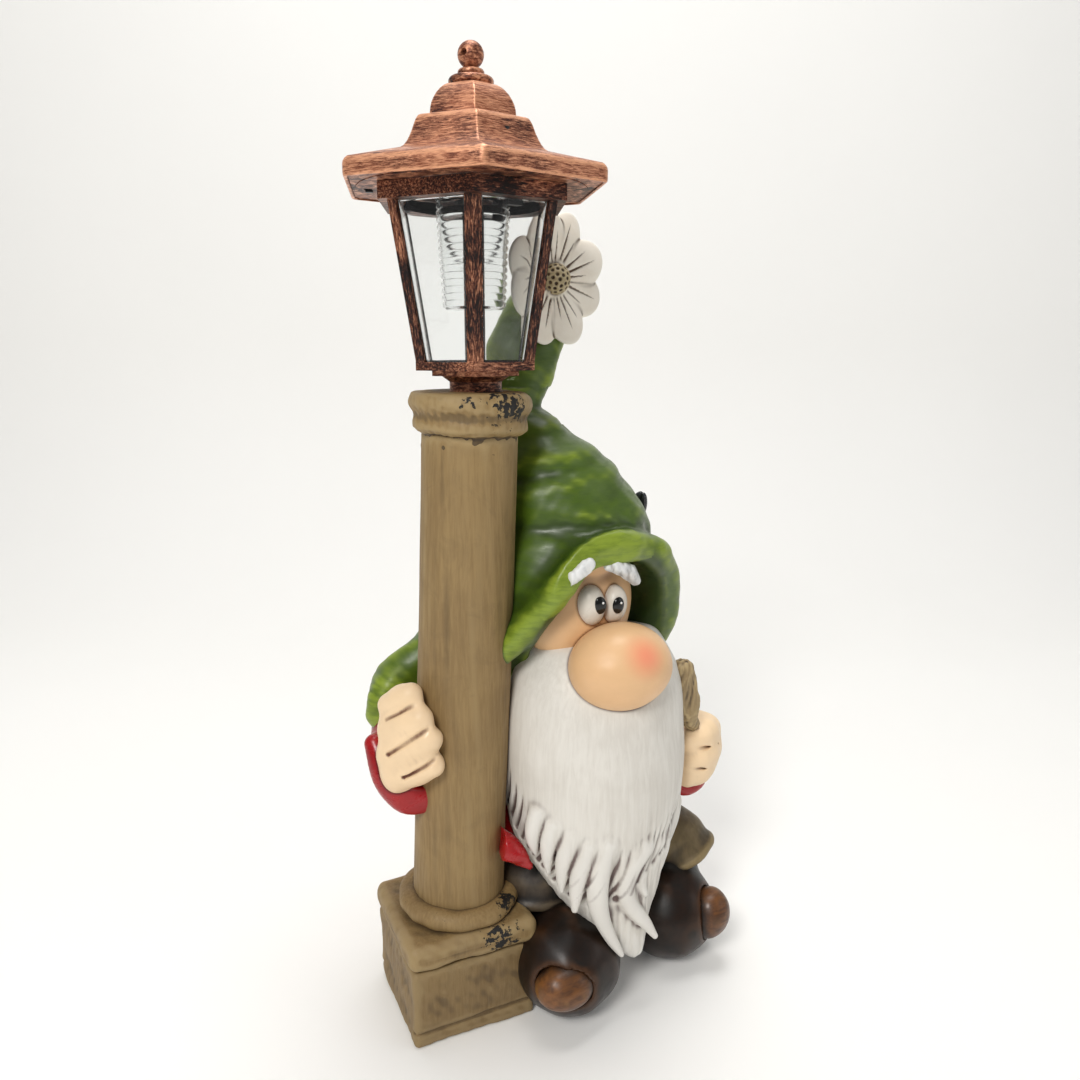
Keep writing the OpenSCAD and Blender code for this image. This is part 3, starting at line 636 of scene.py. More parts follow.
# ---------- hat ----------
HAT = centre("hat_crown")
crown_rows = [(0.5, 1, -64.5, 50, 46), (-0.5, 0, -54.5, 57, 54), (-0.5, -1, -41.5, 59.5, 57),
              (0.5, -5, -19.5, 57, 56), (0, -7, -0.5, 49.5, 50), (-1, -7, 10.5, 45, 46),
              (-3, -6, 25.5, 38.5, 39), (-8, -4, 41.5, 29.5, 31), (-15.5, 0, 55.5, 19.5, 22),
              (-20.5, 5, 67.5, 10.5, 12)]
tip_rows = [(-20.5, 5, 62.5, 9.5, 10), (-18.5, 10, 74.5, 15, 12.5), (-14.5, 16, 87.5, 20.5, 13),
            (-9.5, 22, 100.5, 22, 13), (-5.5, 25, 112.5, 19, 12), (-2.5, 26, 123.5, 14, 11),
            (-0.5, 26, 132.5, 8.5, 9)]
rim_rows = [(-30.5, -14, -69.5, 4), (-54.5, -34, -61, 5.5), (-51, -42, -50.5, 6), (-43.5, -50, -38.5, 6.2),
            (-34, -57, -25, 6.4), (-25, -62, -11, 6.6), (-13.5, -64, 0, 6.8), (2.5, -62, 3.5, 7),
            (28.5, -52, -3.5, 7.2), (40, -42, -14.5, 7.4), (47, -36, -29.5, 7.4), (49.5, -33, -44.5, 7.2),
            (47.5, -30, -57.5, 6)]
drape_rows = [(-28.5, 8, -25.5, 14), (-47.5, 16, -43.5, 16), (-64.5, 18, -62.5, 13), (-78.5, 18, -73.5, 12.5),
              (-89.5, 16, -79.5, 12.5), (-96.5, 14, -87.5, 10.5), (-99, 12, -95.5, 9)]
# Folds of the crown: how far it stands out, height, rise to the right per mm, width
folds = [(2.4, 45.5, 0.10, 4.2), (-2.6, 53.5, 0.08, 4.0), (-1.2, 38.5, 0.12, 3.0),
         (1.6, 32.5, 0.16, 4.5), (-1.3, 23.5, 0.20, 5.0), (1.0, 16.5, -0.05, 4.0)]


def hat_opening(p):
    return egg(p, (4.5, -64, -59.5), (45, 50, 61))


def hat(q):
    p = q - HAT
    x, y, z = p.T
    turn = np.arctan2(x, -y)
    crown = loft(p, crown_rows, 5)
    for out, level, rise, wide in folds:
        crown -= 0.6 * out * np.exp(-((z - level - rise * x - 1.6 * np.sin(2 * turn + level)) / wide) ** 2)
    front = 1 / (1 + np.exp((y + 18) / 5))
    crown += 3.4 * front * np.exp(-((z - 9.5 + 0.004 * x * x + 0.10 * x) / 6.0) ** 2)
    back = 1 / (1 + np.exp(-(y - 14) / 8))
    crown -= 1.3 * back * np.cos(turn * 9 + 1.4 * np.sin(z / 17)) * np.clip((14.5 - z) / 60, 0, 1)
    crown -= 0.9 * np.cos(turn * 7 + z / 6) * np.exp(-((z - 61.5) / 8) ** 2)
    f = cut(crown, hat_opening(p), 4)
    f = join(f, limb(p, rim_rows, 3), 13)
    drape = limb(p, drape_rows, 3) - 0.8 * np.cos((x * 0.8 + y) / 4.2)
    f = join(f, drape, 9)
    tip = loft(p, tip_rows, 7) - 0.8 * np.sin(z / 5.5 + x / 9) * (z > 77.5)
    f = join(f, tip, 2.5)
    return f - 0.5 * lumps(p, 30, 11) - 0.14 * lumps(p, 9, 12)


hat_piece = sculpt("Hat", hat, 1.15, hat_green, nodes=["hat_crown", "hat_drape", "hat_tip"],
                   pad=6, near=["Column_shaft"], fine=8, broad=60, sharp=(0.5, 2.6))
hat_v = np.array([v.co for v in hat_piece.data.vertices]) / MM - HAT
hollow = np.exp(-np.maximum(hat_opening(hat_v), 0) / 2.5) * (hat_v[:, 1] > -61)
spread(hat_piece, "inside", hollow)


# ---------- flower on the hat ----------
FLOWER, HEART = centre("hat_flower"), centre("flower_heart")
petal_turns = [0, 4, -3, 2, -4, 3, -2, 4]
petal_lifts = [0.6, -0.5, 0.9, -0.2, 0.7, -0.7, 0.4, -0.4]
FACING = 20


def in_flower(q, c):
    """Right, up and out of the flower's face."""
    w = turned(q, c, (0, 0, FACING))
    return np.stack([w[:, 0], w[:, 2], -w[:, 1]], 1)


def flower(q):
    p = in_flower(q, FLOWER)
    f = egg(p, (0, 0, -0.5), (16, 16, 3.2))
    for k, (swing, lift) in enumerate(zip(petal_turns, petal_lifts)):
        a = math.radians(45 * (k + 0.5) + swing)
        w = turned(p, (0, 0, 0), (0, 0, math.degrees(a)))
        w[:, 2] -= 0.010 * (w[:, 0] - 10) ** 2 * 0.5 + lift * w[:, 0] / 16
        leaf = egg(w, (21.2, 0, 0), (14.4, 12.8 + 0.5 * lift, 3.3))
        off = w[:, 1] / np.maximum(w[:, 0], 4)
        for lane in (-0.27, 0.0, 0.27):
            reach = 30 - 24 * abs(lane) + 2 * math.sin(5 * lane + k)
            taper = np.clip((reach - w[:, 0]) / 14, 0, 1) * (w[:, 0] > 6) * (w[:, 2] > 0)
            leaf += 1.0 * taper * np.exp(-((off - lane) * w[:, 0] / (0.35 + 0.45 * taper)) ** 2)
        f = join(f, leaf, 0.8)
    return f


def heart(q):
    p = in_flower(q, HEART)
    f = egg(p, (0, 0, -3), (8.2, 8.2, 8.2))
    for k in range(46):
        up = 1 - (k + 0.5) / 46 * 1.1
        side = math.sqrt(max(0, 1 - up * up))
        a = k * PHI
        c = 8.4 * np.array([side * math.cos(a), side * math.sin(a), up]) - (0, 0, 3)
        f = cut(f, np.linalg.norm(p - c, axis=1) - 1.15, 0.5)
    return np.maximum(f, -5.2 - p[:, 2])


petal_white = hand_painted("petal_paint", rgb(254, 246, 232), rgb(244, 233, 216), rgb(84, 60, 36),
                           rgb(255, 250, 242), streak=(120, 120, 120), rough=0.5, wash=1.0, dry=0.4,
                           bump=0.05)
heart_beige = hand_painted("heart_paint", rgb(190, 172, 134), rgb(160, 140, 102), rgb(62, 44, 24),
                           rgb(222, 208, 172), streak=(300, 300, 300), rough=0.5, wash=1.0, dry=0.7,
                           bump=0.05)
sculpt("Flower_heart", heart, 0.4, heart_beige, pad=2)
sculpt("Flower_petals", flower, 0.6, petal_white, nodes=["hat_flower"], pad=5,
       near=["Flower_heart"], fine=6, broad=20)


# ---------- leaf ornament ----------
LEAF = centre("hat_leaf")


def leaf(q):
    f = np.full(len(q), 99.0)
    w = turned(q, LEAF + (-5, 1, -1), (0, -24, 40))
    for turn in (-24, 0, 24):
        blade = turned(w, (0, 0, -14), (turn, 0, 0))
        part = egg(blade, (0, 0, 14), (3.2, 5.6, 15))
        part += 0.5 * np.exp(-(blade[:, 1] / 0.7) ** 2)
        f = join(f, part, 0.8)
    return f


sculpt("Hat_leaf", leaf, 0.5, leaf_black, pad=5, near=["Hat"])


# ---------- face ----------
FACE, NOSE = centre("face"), centre("nose")


def nose(q):
    return egg(q, NOSE + (-0.8, 0, 0), (27.0, 22.8, 22.0)) - 0.15 * lumps(q, 30, 21)


def face(q):
    p = q - FACE
    f = egg(p, (-9, -1, -1), (32, 30, 38))
    f = join(f, egg(p, (-23, -15, -12), (16, 11, 13)), 8)
    f = join(f, egg(p, (-9, -26, 24), (10, 5, 5)), 8)
    return f - 0.2 * lumps(p, 25, 22)


def eyes(q):
    p = q - FACE
    left = egg(p, (-12, -28.3, 2.6), (7.4, 7.6, 10.6), (0, -6, 0))
    right = egg(p, (0.8, -29, 1.8), (6.9, 7.4, 9.8), (0, 6, 0))
    return join(left, right, 0.6)


def pupils(q):
    p = q - FACE
    return np.minimum(egg(p, (-10.2, -35.3, 3.8), (3.4, 1.6, 4.5), (0, -4, -6)),
                      egg(p, (-0.2, -35.9, 2.8), (3.2, 1.6, 4.3), (0, 4, 2)))


def glints(q):
    p = q - FACE
    return np.minimum(egg(p, (-9.3, -36.9, 5.3), (0.6, 0.4, 0.65)),
                      egg(p, (0.7, -37.4, 4.3), (0.6, 0.4, 0.65)))


brow_rows = ([(-33, -40, 17.1, 1.8), (-28.2, -42, 22, 3.2), (-20.7, -43, 27.3, 3.4)],
             [(-7.1, -37, 24, 2.4), (-2, -38, 23.2, 3.6), (5.4, -36, 19.4, 4),
              (10.8, -33, 14, 2.8)])


def brows(q):
    p = q - FACE
    f = np.minimum(*(limb(p, rows) for rows in brow_rows))
    return f + 0.07 * np.sin((p[:, 0] * 0.9 + p[:, 2] * 0.5) * 2.2) - 0.3 * lumps(p, 6, 23)


def blush(m, colour):
    """Red on the bridge of the nose."""
    near_bridge = m.spot(NOSE + (2.5, -20, 11.5), 15, 0.0)
    return m.mix(m.math("MULTIPLY", near_bridge, 0.62), colour, rgb(244, 118, 92))


sculpt("Nose", nose, 1.0, skin_paint("nose_paint", blush), pad=2)
sculpt("Eyes", eyes, 0.6, eye_paint, pad=6, near=["Nose"])
sculpt("Pupils", pupils, 0.35, plain_shader("pupil_paint", rgb(10, 10, 11), 0.12, bump=0.0),
       pad=6)
sculpt("Pupil_glints", glints, 0.2,
       plain_shader("glint_paint", rgb(250, 250, 250), 0.2, bump=0.0), nodes=[], around=["pupils"], pad=6)
sculpt("Eyebrows", brows, 0.5, brow_white, pad=6)
sculpt("Face", face, 1.2, skin_paint("face_paint"), near=["Eyes", "Nose", "Hat"],
       sharp=(0.5, 2.6))


# ---------- beard ----------
BEARD = centre("beard")
beard_rows = [(8, -36, -83, 4, 4), (6, -33, -75, 9, 9), (2, -24, -61, 20, 19),
              (-0.5, -13, -41, 33, 32), (-0.5, -4, -17, 45, 43), (0, 0, 13, 50.5, 49),
              (0, 1, 41, 51, 47), (1, 2, 69, 47, 42), (1, 4, 89, 37, 31)]


def lock(start, end, sway, wide, curl=1.0):
    """A strand of hair from start to end that sways aside on its way and thins towards its end."""
    start, end = np.array(start, float), np.array(end, float)
    rows = []
    for t in np.linspace(0, 1, 6):
        x, y, z = start + (end - start) * t
        rows.append((x - sway * math.sin(math.pi * curl * t), y, z, wide * (1 - 0.75 * t * t)))
    return rows


# The beard's two long locks, two behind them, four to the left that step up its side, and two on the right
locks = [lock((-13, -42, -9), (-5, -46, -72), 9, 6.2), lock((7, -43, -14), (7, -46, -67), 10, 6.2, 1.3),
         lock((18, -38, -16), (10, -44, -42), 8, 5), lock((-5, -38, -33), (1, -38, -76), -2, 6)]
for k in range(4):
    root, end = (-21 - 7.5 * k, -39 + 5 * k, -9 + 5 * k), (-29 - 5 * k, -39 + 5 * k, -43 + 9 * k)
    locks.append(lock(root, end, 2, 5.6 - 0.3 * k))
locks += [lock((27, -33, -13), (20, -36, -37), -1, 4), lock((38, -25, -5), (30, -29, -29), -1, 4)]


def parting(start):
    """A groove between strands: how far round the beard and how high, from its start downwards."""
    top = 28 * ((start + 5) / 55) ** 2 - 6 + 2 * math.sin(3 * start)
    drop = 24 + 12 * math.exp(-((start + 8) / 25) ** 2)
    swing = 5 + 9 * math.exp(-((start + 18) / 22) ** 2)
    return [(start - 3 * t - swing * t * t, top - drop * t) for t in (0, 0.33, 0.67, 1)]


partings = [parting(start) for start in np.arange(-62, 36, 4.4)]


def combed(s, z):
    """How far the partings press in at distances s round the beard and heights z."""
    deep = np.zeros(len(s))
    for k, path in enumerate(partings):
        rows = spline(path, 4)
        width, depth = 1.5 + 0.35 * math.sin(k * 2.1), 2.3 + 0.6 * math.sin(k * 1.3)
        reach = 3.5 * width
        hit = np.nonzero((s > rows[:, 0].min() - reach) & (s < rows[:, 0].max() + reach)
                         & (z > rows[:, 1].min() - reach) & (z < rows[:, 1].max() + reach))[0]
        if not len(hit):
            continue
        at = np.stack([s[hit], z[hit]], 1)
        best, along = np.full(len(hit), 1e9), np.zeros(len(hit))
        for i, (a, b) in enumerate(zip(rows[:-1], rows[1:])):
            ab = b - a
            t = np.clip((at - a) @ ab / (ab @ ab), 0, 1)
            d = np.linalg.norm(at - a - t[:, None] * ab, axis=1)
            along = np.where(d < best, (i + t) / (len(rows) - 1), along)
            best = np.minimum(best, d)
        swell = np.clip(along * 1.6, 0.0, 1)
        deep[hit] += depth * swell * np.exp(-(best / (width * (0.35 + 0.65 * swell))) ** 2)
    return deep


def beard(q):
    p = q - BEARD
    x, y, z = p.T
    f = loft(p, beard_rows, 5)
    f += combed(48 * np.arctan2(x, -(y - 8)), z)
    f -= 0.3 * lumps(p * (1, 1, 0.12), 4.5, 32) * np.clip((31 - z) / 60, 0.05, 1)
    tuft = np.full(len(p), 99.0)
    for rows in locks:
        tuft = join(tuft, limb(p, rows), 1.0)
    f = join(f, tuft, 3.0)
    return f - 0.35 * lumps(p, 28, 31)


def beard_lines(q):
    p = q - BEARD
    deep = combed(48 * np.arctan2(p[:, 0], -(p[:, 1] - 8)), p[:, 2])
    return np.clip(deep / 2.6, 0, 1.2) ** 1.5 * 0.8


sculpt("Beard", beard, 0.9, beard_white, pad=5, near=["Nose", "Column_shaft"], fine=8,
       broad=50, lines=beard_lines)


# ---------- coat, sleeves and hands ----------
COAT, RSLEEVE, LSLEEVE = centre("coat"), centre("right_sleeve"), centre("left_sleeve")
RHAND, LHAND = centre("right_hand"), centre("left_hand")
coat_rows = [(0, -3, -58, 52, 39), (0, -2, -47, 53.5, 41.5), (0, 1, -19, 51.5, 42.5),
             (0, 3, 11, 48.5, 40.5), (1, 5, 41, 43.5, 37.5), (-2, 8, 59, 32, 30)]


def coat(q):
    p = q - COAT
    x, y, z = p.T
    turn = np.arctan2(x, -y)
    f = loft(p, coat_rows, 5)
    low = np.clip((11 - z) / 70, 0, 1)
    f -= low * 1.3 * np.sin(turn * 7 + 0.8 * np.sin(z / 16)) * (0.6 + 0.4 * np.sin(turn * 2 + 1))
    hem = np.exp(-((z - -55) / 2.6) ** 2) - 0.9 * np.exp(-((z - -49) / 1.6) ** 2)
    seam = np.exp(-(x / 0.9) ** 2) * (y > 0)
    f = join(f, limb(p, [(-66.5, -35, -38, 9), (-57, -41, -43.5, 7), (-48, -48, -50.5, 2.6)]), 6)
    return f - 1.0 * hem + 0.8 * seam - 0.4 * lumps(p, 24, 41)


def right_sleeve(q):
    p = q - RSLEEVE
    f = limb(p, [(36, -4, 20, 15), (24, 6, 12, 19), (2, 14, 0, 18), (-18, 10, -10, 17),
                 (-28, -8, -15, 15.5), (-30, -19, -15, 14.5)])
    wave = (p[:, 0] * 0.8 + p[:, 1] * 0.5 + 3 * np.sin(p[:, 2] / 7)) / 4.6
    f -= 0.9 * np.sin(wave) * np.clip((p[:, 1] + 8) / 12, 0, 1)
    cuff = limb(p, [(-43.5, -20, -2, 5), (-41, -26, -12, 7), (-37, -29, -21, 8.5),
                    (-31, -32, -27.5, 8.5), (-23, -34, -29.5, 7.5), (-15, -30, -27, 7)])
    return join(f, cuff, 4) - 0.3 * lumps(p, 16, 42)


def left_sleeve(q):
    p = q - LSLEEVE
    f = limb(p, [(-16.5, 6, 33.5, 14), (-6.5, 8, 21.5, 17), (4.5, 0, -4.5, 18), (9, -12, -23.5, 16),
                 (10.5, -18, -27.5, 15)])
    wave = (p[:, 2] * 0.9 + p[:, 1] * 0.4 + 3 * np.sin(p[:, 0] / 7)) / 4.4
    f -= 0.9 * np.sin(wave) * np.clip((p[:, 2] + 30) / 20, 0, 1)
    roll = turned(p, (10.5, -20, -29.5), (52, 0, 0))
    cuff = np.hypot(np.hypot(roll[:, 0], roll[:, 1]) - 12.5, roll[:, 2]) - 4.4
    return join(f, cuff, 3) - 0.3 * lumps(p, 16, 43)


def right_hand(q):
    p = q - RHAND
    f = egg(p, (-1.5, 7, -2), (10.5, 10, 27), (0, 14, 0))
    for rows in ([(-6.5, 10, 16, 6.5), (-2.5, 4, 21, 7), (0.5, 0, 24, 6)],
                 [(-6.5, 8, 4, 7.5), (-0.5, -1, 10, 8), (3.5, -7, 14, 6)],
                 [(-6.5, 7, -9, 8), (0.5, -2, -2, 8.5), (7, -8.5, 3, 6.5)],
                 [(-4.5, 5, -19, 8), (2.5, -2, -14, 8.5), (8, -7.5, -11, 6.5)]):
        f = join(f, limb(p, rows), 6)
    for path, deep in (([(-11.5, 3, 12), (-6.5, -2, 16), (-0.5, -8, 22)], 1.2),
                       ([(-11.5, 0, -5), (-3.5, -9, 4), (8.5, -15, 13)], 2.4),
                       ([(-5.5, -5, -16), (2.5, -11, -10), (13.5, -15, -2)], 2.0)):
        f += groove(p, path, 1.1, deep)
    return f - 0.2 * lumps(p, 12, 44)


def left_hand(q):
    p = q - LHAND
    f = egg(p, (0, 0.5, 0), (15.5, 14, 19.5), (0, 8, 0))
    for rows in ([(9, -2.5, 9, 6.5), (0, -9.5, 10, 7), (-9, -10.5, 8, 6)],
                 [(9.5, -2.5, -3, 7), (1, -9.5, -3, 7.2), (-8, -10.5, -5, 6)],
                 [(7, -2.5, -13, 6.5), (0, -7.5, -14, 6.8), (-8, -8.5, -15, 6)]):
        f = join(f, limb(p, rows), 6)
    for path in ([(-17, -15.5, 5), (-8, -17.5, 5), (9, -10.5, 3)],
                 [(-16, -14.5, -8), (-7.5, -16.5, -7.5), (8.5, -9.5, -9.5)]):
        f += groove(p, path, 1.1, 2.3)
    return f - 0.2 * lumps(p, 12, 45)


sculpt("Right_hand", right_hand, 0.75,
       skin_paint("hand_paint", wash=1.0, tint=rgb(246, 216, 176)), near=["Column_shaft"], fine=6, broad=12,
       sharp=(0.8, 2.2))
sculpt("Left_hand", left_hand, 0.75,
       skin_paint("fist_paint", wash=1.0, tint=rgb(246, 216, 176)), near=["Beard"], fine=6, broad=12,
       sharp=(0.8, 2.2))
sculpt("Right_sleeve", right_sleeve, 1.2, coat_red, near=["Right_hand", "Hat"],
       sharp=(0.5, 2.6))
sculpt("Left_sleeve", left_sleeve, 1.2, coat_red, near=["Left_hand", "Hat"], sharp=(0.5, 2.6))
sculpt("Coat", coat, 1.6, coat_red, near=["Beard", "Hat", "Left_sleeve", "Right_sleeve"],
       sharp=(0.5, 2.6))


def stub(q):
    p = q - LHAND
    f = limb(p, [(-17.5, -13.5, 51.5, 6.4), (-16, -14.5, 40.5, 7.2), (-13.5, -14.5, 31, 6.4),
                 (-11, -13.5, 22, 4.2), (-6, -8.5, 16, 4)])
    return f - 0.3 * lumps(turned(p, (0, 0, 0), (0, 10, 0)) * (1, 1, 0.12), 3.2, 46) - 0.3 * lumps(p, 14, 47)


sculpt("Handle_stub", stub, 0.6, handle_wood, nodes=["wooden_handle"], pad=4,
       near=["Left_hand"])


# ---------- trousers and boots ----------
RBOOT, LBOOT = centre("right_boot"), centre("left_boot")
RLEG, LLEG = centre("right_trouser"), centre("left_trouser")


def leg(p, rows, end, way):
    f = limb(p, rows)
    way = np.array(way) / np.linalg.norm(way)
    t = (p - np.array(end)) @ way
    f -= 0.9 * np.sin(t / 3.6 + np.sin(p[:, 0] / 8)) * np.clip(-t / 14, 0, 1)
    f -= 0.8 * np.exp(-((t + 3) / 2.2) ** 2)
    return cut(f, -t, 2.5) - 0.3 * lumps(p, 17, 51)


def right_leg(q):
    return leg(q - RLEG, [(5, 11, 18, 19.5), (1, 3, 4, 20.5), (-3, -5, -10, 20.5), (-6, -11, -24, 20)],
               (-5, -10, -27), (-0.1, -0.25, -0.96))


def left_leg(q):
    return leg(q - LLEG, [(-18.5, 9.5, 19.5, 19.5), (-8.5, 5.5, 7.5, 20.5), (3.5, -2.5, -4.5, 19.5),
                          (13.5, -9.5, -14.5, 20), (19.5, -14.5, -22.5, 20)],
               (17.5, -13.5, -23.5), (0.42, -0.35, -0.84))


def boot(p, front, heel, top, toe, toe_half, turn):
    f = egg(p, front, (28.4, 29, 27.6))
    f = join(f, egg(p, heel, (21.5, 21.5, 22)), 10)
    f = join(f, limb(p, [(*heel, 18.5), (*top, 18)]), 6)
    f = cut(f, egg(p, toe, np.array(toe_half) + 0.25, turn), 1.2)
    return f - 0.45 * lumps(p, 20, 52)


def grounded(f, q, k=2.5):
    return cut(f, q[:, 2] - 0.3, k)


right_toe_at, right_toe_half, right_toe_turn = (-6, -35.5, 0), (16.0, 12.5, 11.5), (24, 0, 0)
left_toe_at, left_toe_half, left_toe_turn = (12.5, -22.5, -1.5), (12, 13, 15), (14, 16, 0)


def right_boot(q):
    p = q - RBOOT
    return grounded(boot(p, (4.5, -15.5, -1.5), (6, 19.5, -7.5), (3, 15.5, 20.5),
                         right_toe_at, right_toe_half, right_toe_turn), q)


def left_boot(q):
    p = q - LBOOT
    return grounded(boot(p, (-3, -3.5, -5), (-9, 18.5, -10), (5, 10.5, 18),
                         left_toe_at, left_toe_half, left_toe_turn), q)


def toe(origin, at, half, turn):
    return lambda q: grounded(egg(q - origin, at, half, turn) - 0.2 * lumps(q, 16, 53), q)


def rim_of(name):
    """Darkening that fades out over a few mm from another piece: thinned dark paint together with painted
    shade where the pieces meet.
    """
    return lambda v: 0.95 * np.exp(-np.maximum(fields[name](v) + 0.6, 0) / 3.6)


toe_brown = hand_painted("toe_paint", rgb(124, 78, 38), rgb(70, 42, 22), rgb(16, 11, 8), rgb(170, 122, 62),
                         streak=(120, 420, 420), rough=0.36, wash=0.97, dry=0.6, patch=50, bump=0.06)
sculpt("Right_boot", right_boot, 1.1, boot_brown, pad=2, near=["Plinth_block", "Beard"])
sculpt("Left_boot", left_boot, 1.1, boot_brown, pad=2, near=["Beard"])
sculpt("Right_toe", toe(RBOOT, right_toe_at, right_toe_half, right_toe_turn), 0.8, toe_brown,
       pad=6, lines=rim_of("Right_boot"))
sculpt("Left_toe", toe(LBOOT, left_toe_at, left_toe_half, left_toe_turn), 0.8, toe_brown,
       pad=6, lines=rim_of("Left_boot"))
sculpt("Right_trouser", right_leg, 1.2, shaded_grey, pad=4,
       near=["Right_boot", "Coat", "Plinth_slab", "Beard"])
sculpt("Left_trouser", left_leg, 1.2, trouser_grey, pad=6,
       near=["Left_boot", "Coat", "Beard"])


# ---------- lantern ----------
ROOF_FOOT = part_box("roof_shell")[0].z / MM
ROOF_TURN, CAGE_TURN = 13.8, 9.6
SHARP_FROM = math.radians(32)


def hexagon(radius, soft, turn, z, n=4):
    """A level six-sided ring round the lantern's axis with rounded corners."""
    out = []
    for k in range(6):
        p, before, after = (radius * np.array([math.cos(a), math.sin(a)])
                            for a in (math.radians(turn + 60 * (k + s)) for s in (0, -1, 1)))
        a = p + (before - p) / np.linalg.norm(before - p) * soft
        b = p + (after - p) / np.linalg.norm(after - p) * soft
        for t in np.linspace(0, 1, n + 1):
            out.append((1 - t) ** 2 * a + 2 * t * (1 - t) * p + t * t * b)
    return [(x + LAMP[0], y + LAMP[1], z) for x, y in out]


def circle(radius, z, n=72):
    return [(LAMP[0] + radius * math.cos(a), LAMP[1] + radius * math.sin(a), z)
            for a in np.arange(n) * 2 * math.pi / n]


def on_axis(ring):
    return (LAMP[0], LAMP[1], ring[0][2])


def band_of(a, b, n):
    """Faces from the ring of n points that starts at number a to the one that starts at b."""
    return [(a + j, a + (j + 1) % n, b + (j + 1) % n, b + j) for j in range(n)]


def stacked(name, rings):
    """A closed piece from rings of equally many points, with a point at each end on the lantern's axis."""
    n = len(rings[0])
    v = [on_axis(rings[0])] + [p for ring in rings for p in ring] + [on_axis(rings[-1])]
    last = len(v) - 1
    faces = [(0, 1 + (j + 1) % n, 1 + j) for j in range(n)]
    for i in range(len(rings) - 1):
        faces += band_of(1 + i * n, 1 + (i + 1) * n, n)
    faces += [(last, last - n + j, last - n + (j + 1) % n) for j in range(n)]
    obj = new_object(name, v, faces)
    obj.data.set_sharp_from_angle(angle=SHARP_FROM)
    return obj


# The roof's outline: radius and height over its foot, roundness of the corners, and 1 where an edge is worn
# and carries painted highlight
roof_outside = [(63.9, 0, 4.6, 1), (64.4, 0.5, 4.6, 1), (64.5, 1.5, 4.4, 0), (64.5, 4.9, 4.2, 0),
                (64.2, 6, 3.8, 1), (63.4, 7.1, 3.2, 1), (62.3, 8, 2.8, 0), (50, 11.1, 2.2, 0),
                (37.2, 14.3, 1.8, 0), (35.3, 15.4, 1.6, 0),
                (33.7, 17.2, 1.5, 0), (32.3, 19.4, 1.4, 0), (31.1, 21.8, 1.3, 0), (30.1, 24.2, 1.3, 0),
                (29.2, 26.2, 1.2, 0), (28.5, 27.3, 1.2, 1), (27.7, 28.3, 1.2, 1), (26.6, 28.8, 1.2, 1),
                (23.2, 29, 1.2, 0), (22.1, 29.3, 1.2, 0), (21.7, 30.2, 1.2, 0), (21.5, 32.2, 1.2, 0),
                (20.9, 34.4, 1.2, 0), (19.8, 36.6, 1.2, 0), (18.3, 38.8, 1.2, 0), (16.4, 40.8, 1.2, 0),
                (14.4, 42.3, 1.2, 1), (12.7, 43.2, 1.2, 1), (11, 43.3, 1.2, 0)]
WALL = 2.0
roof_inside = [(max(r - WALL, 4), max(z - WALL, -0.0), s, 0) for r, z, s, _ in roof_outside if z > 2.2][::-1]
roof_rows = [(62.5, 0.0, 4.4, 0)] + roof_outside
hips = [0, 0.6, 1, 0.6, 0] * 6
roof_edges = [[0.6 * max(e, 0.6 * h) for h in hips] for _, _, _, e in roof_rows]
roof_rings = [hexagon(r, 0.55 * s, ROOF_TURN, ROOF_FOOT + z) for r, z, s, _ in roof_rows]


def hollow_stack(name, outer, inner, edges):
    """A bell open below: outer rings from the hem up, inner rings from the top down to the hem."""
    n, turn_back = len(outer[0]), len(outer)
    top = turn_back * n
    v = [p for ring in outer for p in ring] + [on_axis(outer[-1]), on_axis(inner[0])]
    v += [p for ring in inner for p in ring]
    starts = [i * n for i in range(turn_back)] + [top + 2 + i * n for i in range(len(inner))]
    faces = []
    for i, a in enumerate(starts):
        if i != turn_back - 1:
            faces += band_of(a, starts[(i + 1) % len(starts)], n)
    a, b = starts[turn_back - 1], starts[turn_back]
    faces += [(a + j, a + (j + 1) % n, top) for j in range(n)]
    faces += [(b + (j + 1) % n, b + j, top + 1) for j in range(n)]
    obj = new_object(name, v, faces)
    flat = [e for ring in edges for e in ring]
    spread(obj, "edge", flat + [0] * (len(v) - len(flat)))
    return obj


def pocketed(obj, *nodes):
    """Cuts room for CAD nodes out of a piece."""
    for name in nodes:
        cutter = bpy.data.objects.new("cutter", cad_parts[name].data.copy())
        bpy.context.scene.collection.objects.link(cutter)
        mid = Vector(centre(name) * MM)
        for v in cutter.data.vertices:
            v.co = mid + (v.co - mid) * 1.02
        step = obj.modifiers.new("pocket", "BOOLEAN")
        step.object, step.solver = cutter, "EXACT"
        made = bpy.data.meshes.new_from_object(obj.evaluated_get(bpy.context.evaluated_depsgraph_get()))
        obj.modifiers.clear()
        obj.data = made
        bpy.data.objects.remove(cutter)


copper_roof = copper("roof_copper", (210, 210, 1900), -0.015)
copper_ring = copper("ring_copper", (300, 300, 700), 0.0)
roof_lining = [hexagon(r, s, ROOF_TURN, ROOF_FOOT + z) for r, z, s, _ in roof_inside]
roof_lining.append(hexagon(62.5, 4.4, ROOF_TURN, ROOF_FOOT + 0.4))
roof = hollow_stack("Roof", roof_rings, roof_lining, roof_edges)
pocketed(roof, "solar_cell", "solar_cover")
roof.data.set_sharp_from_angle(angle=SHARP_FROM)
belongs(roof, "roof", ["roof_shell"], copper_roof)

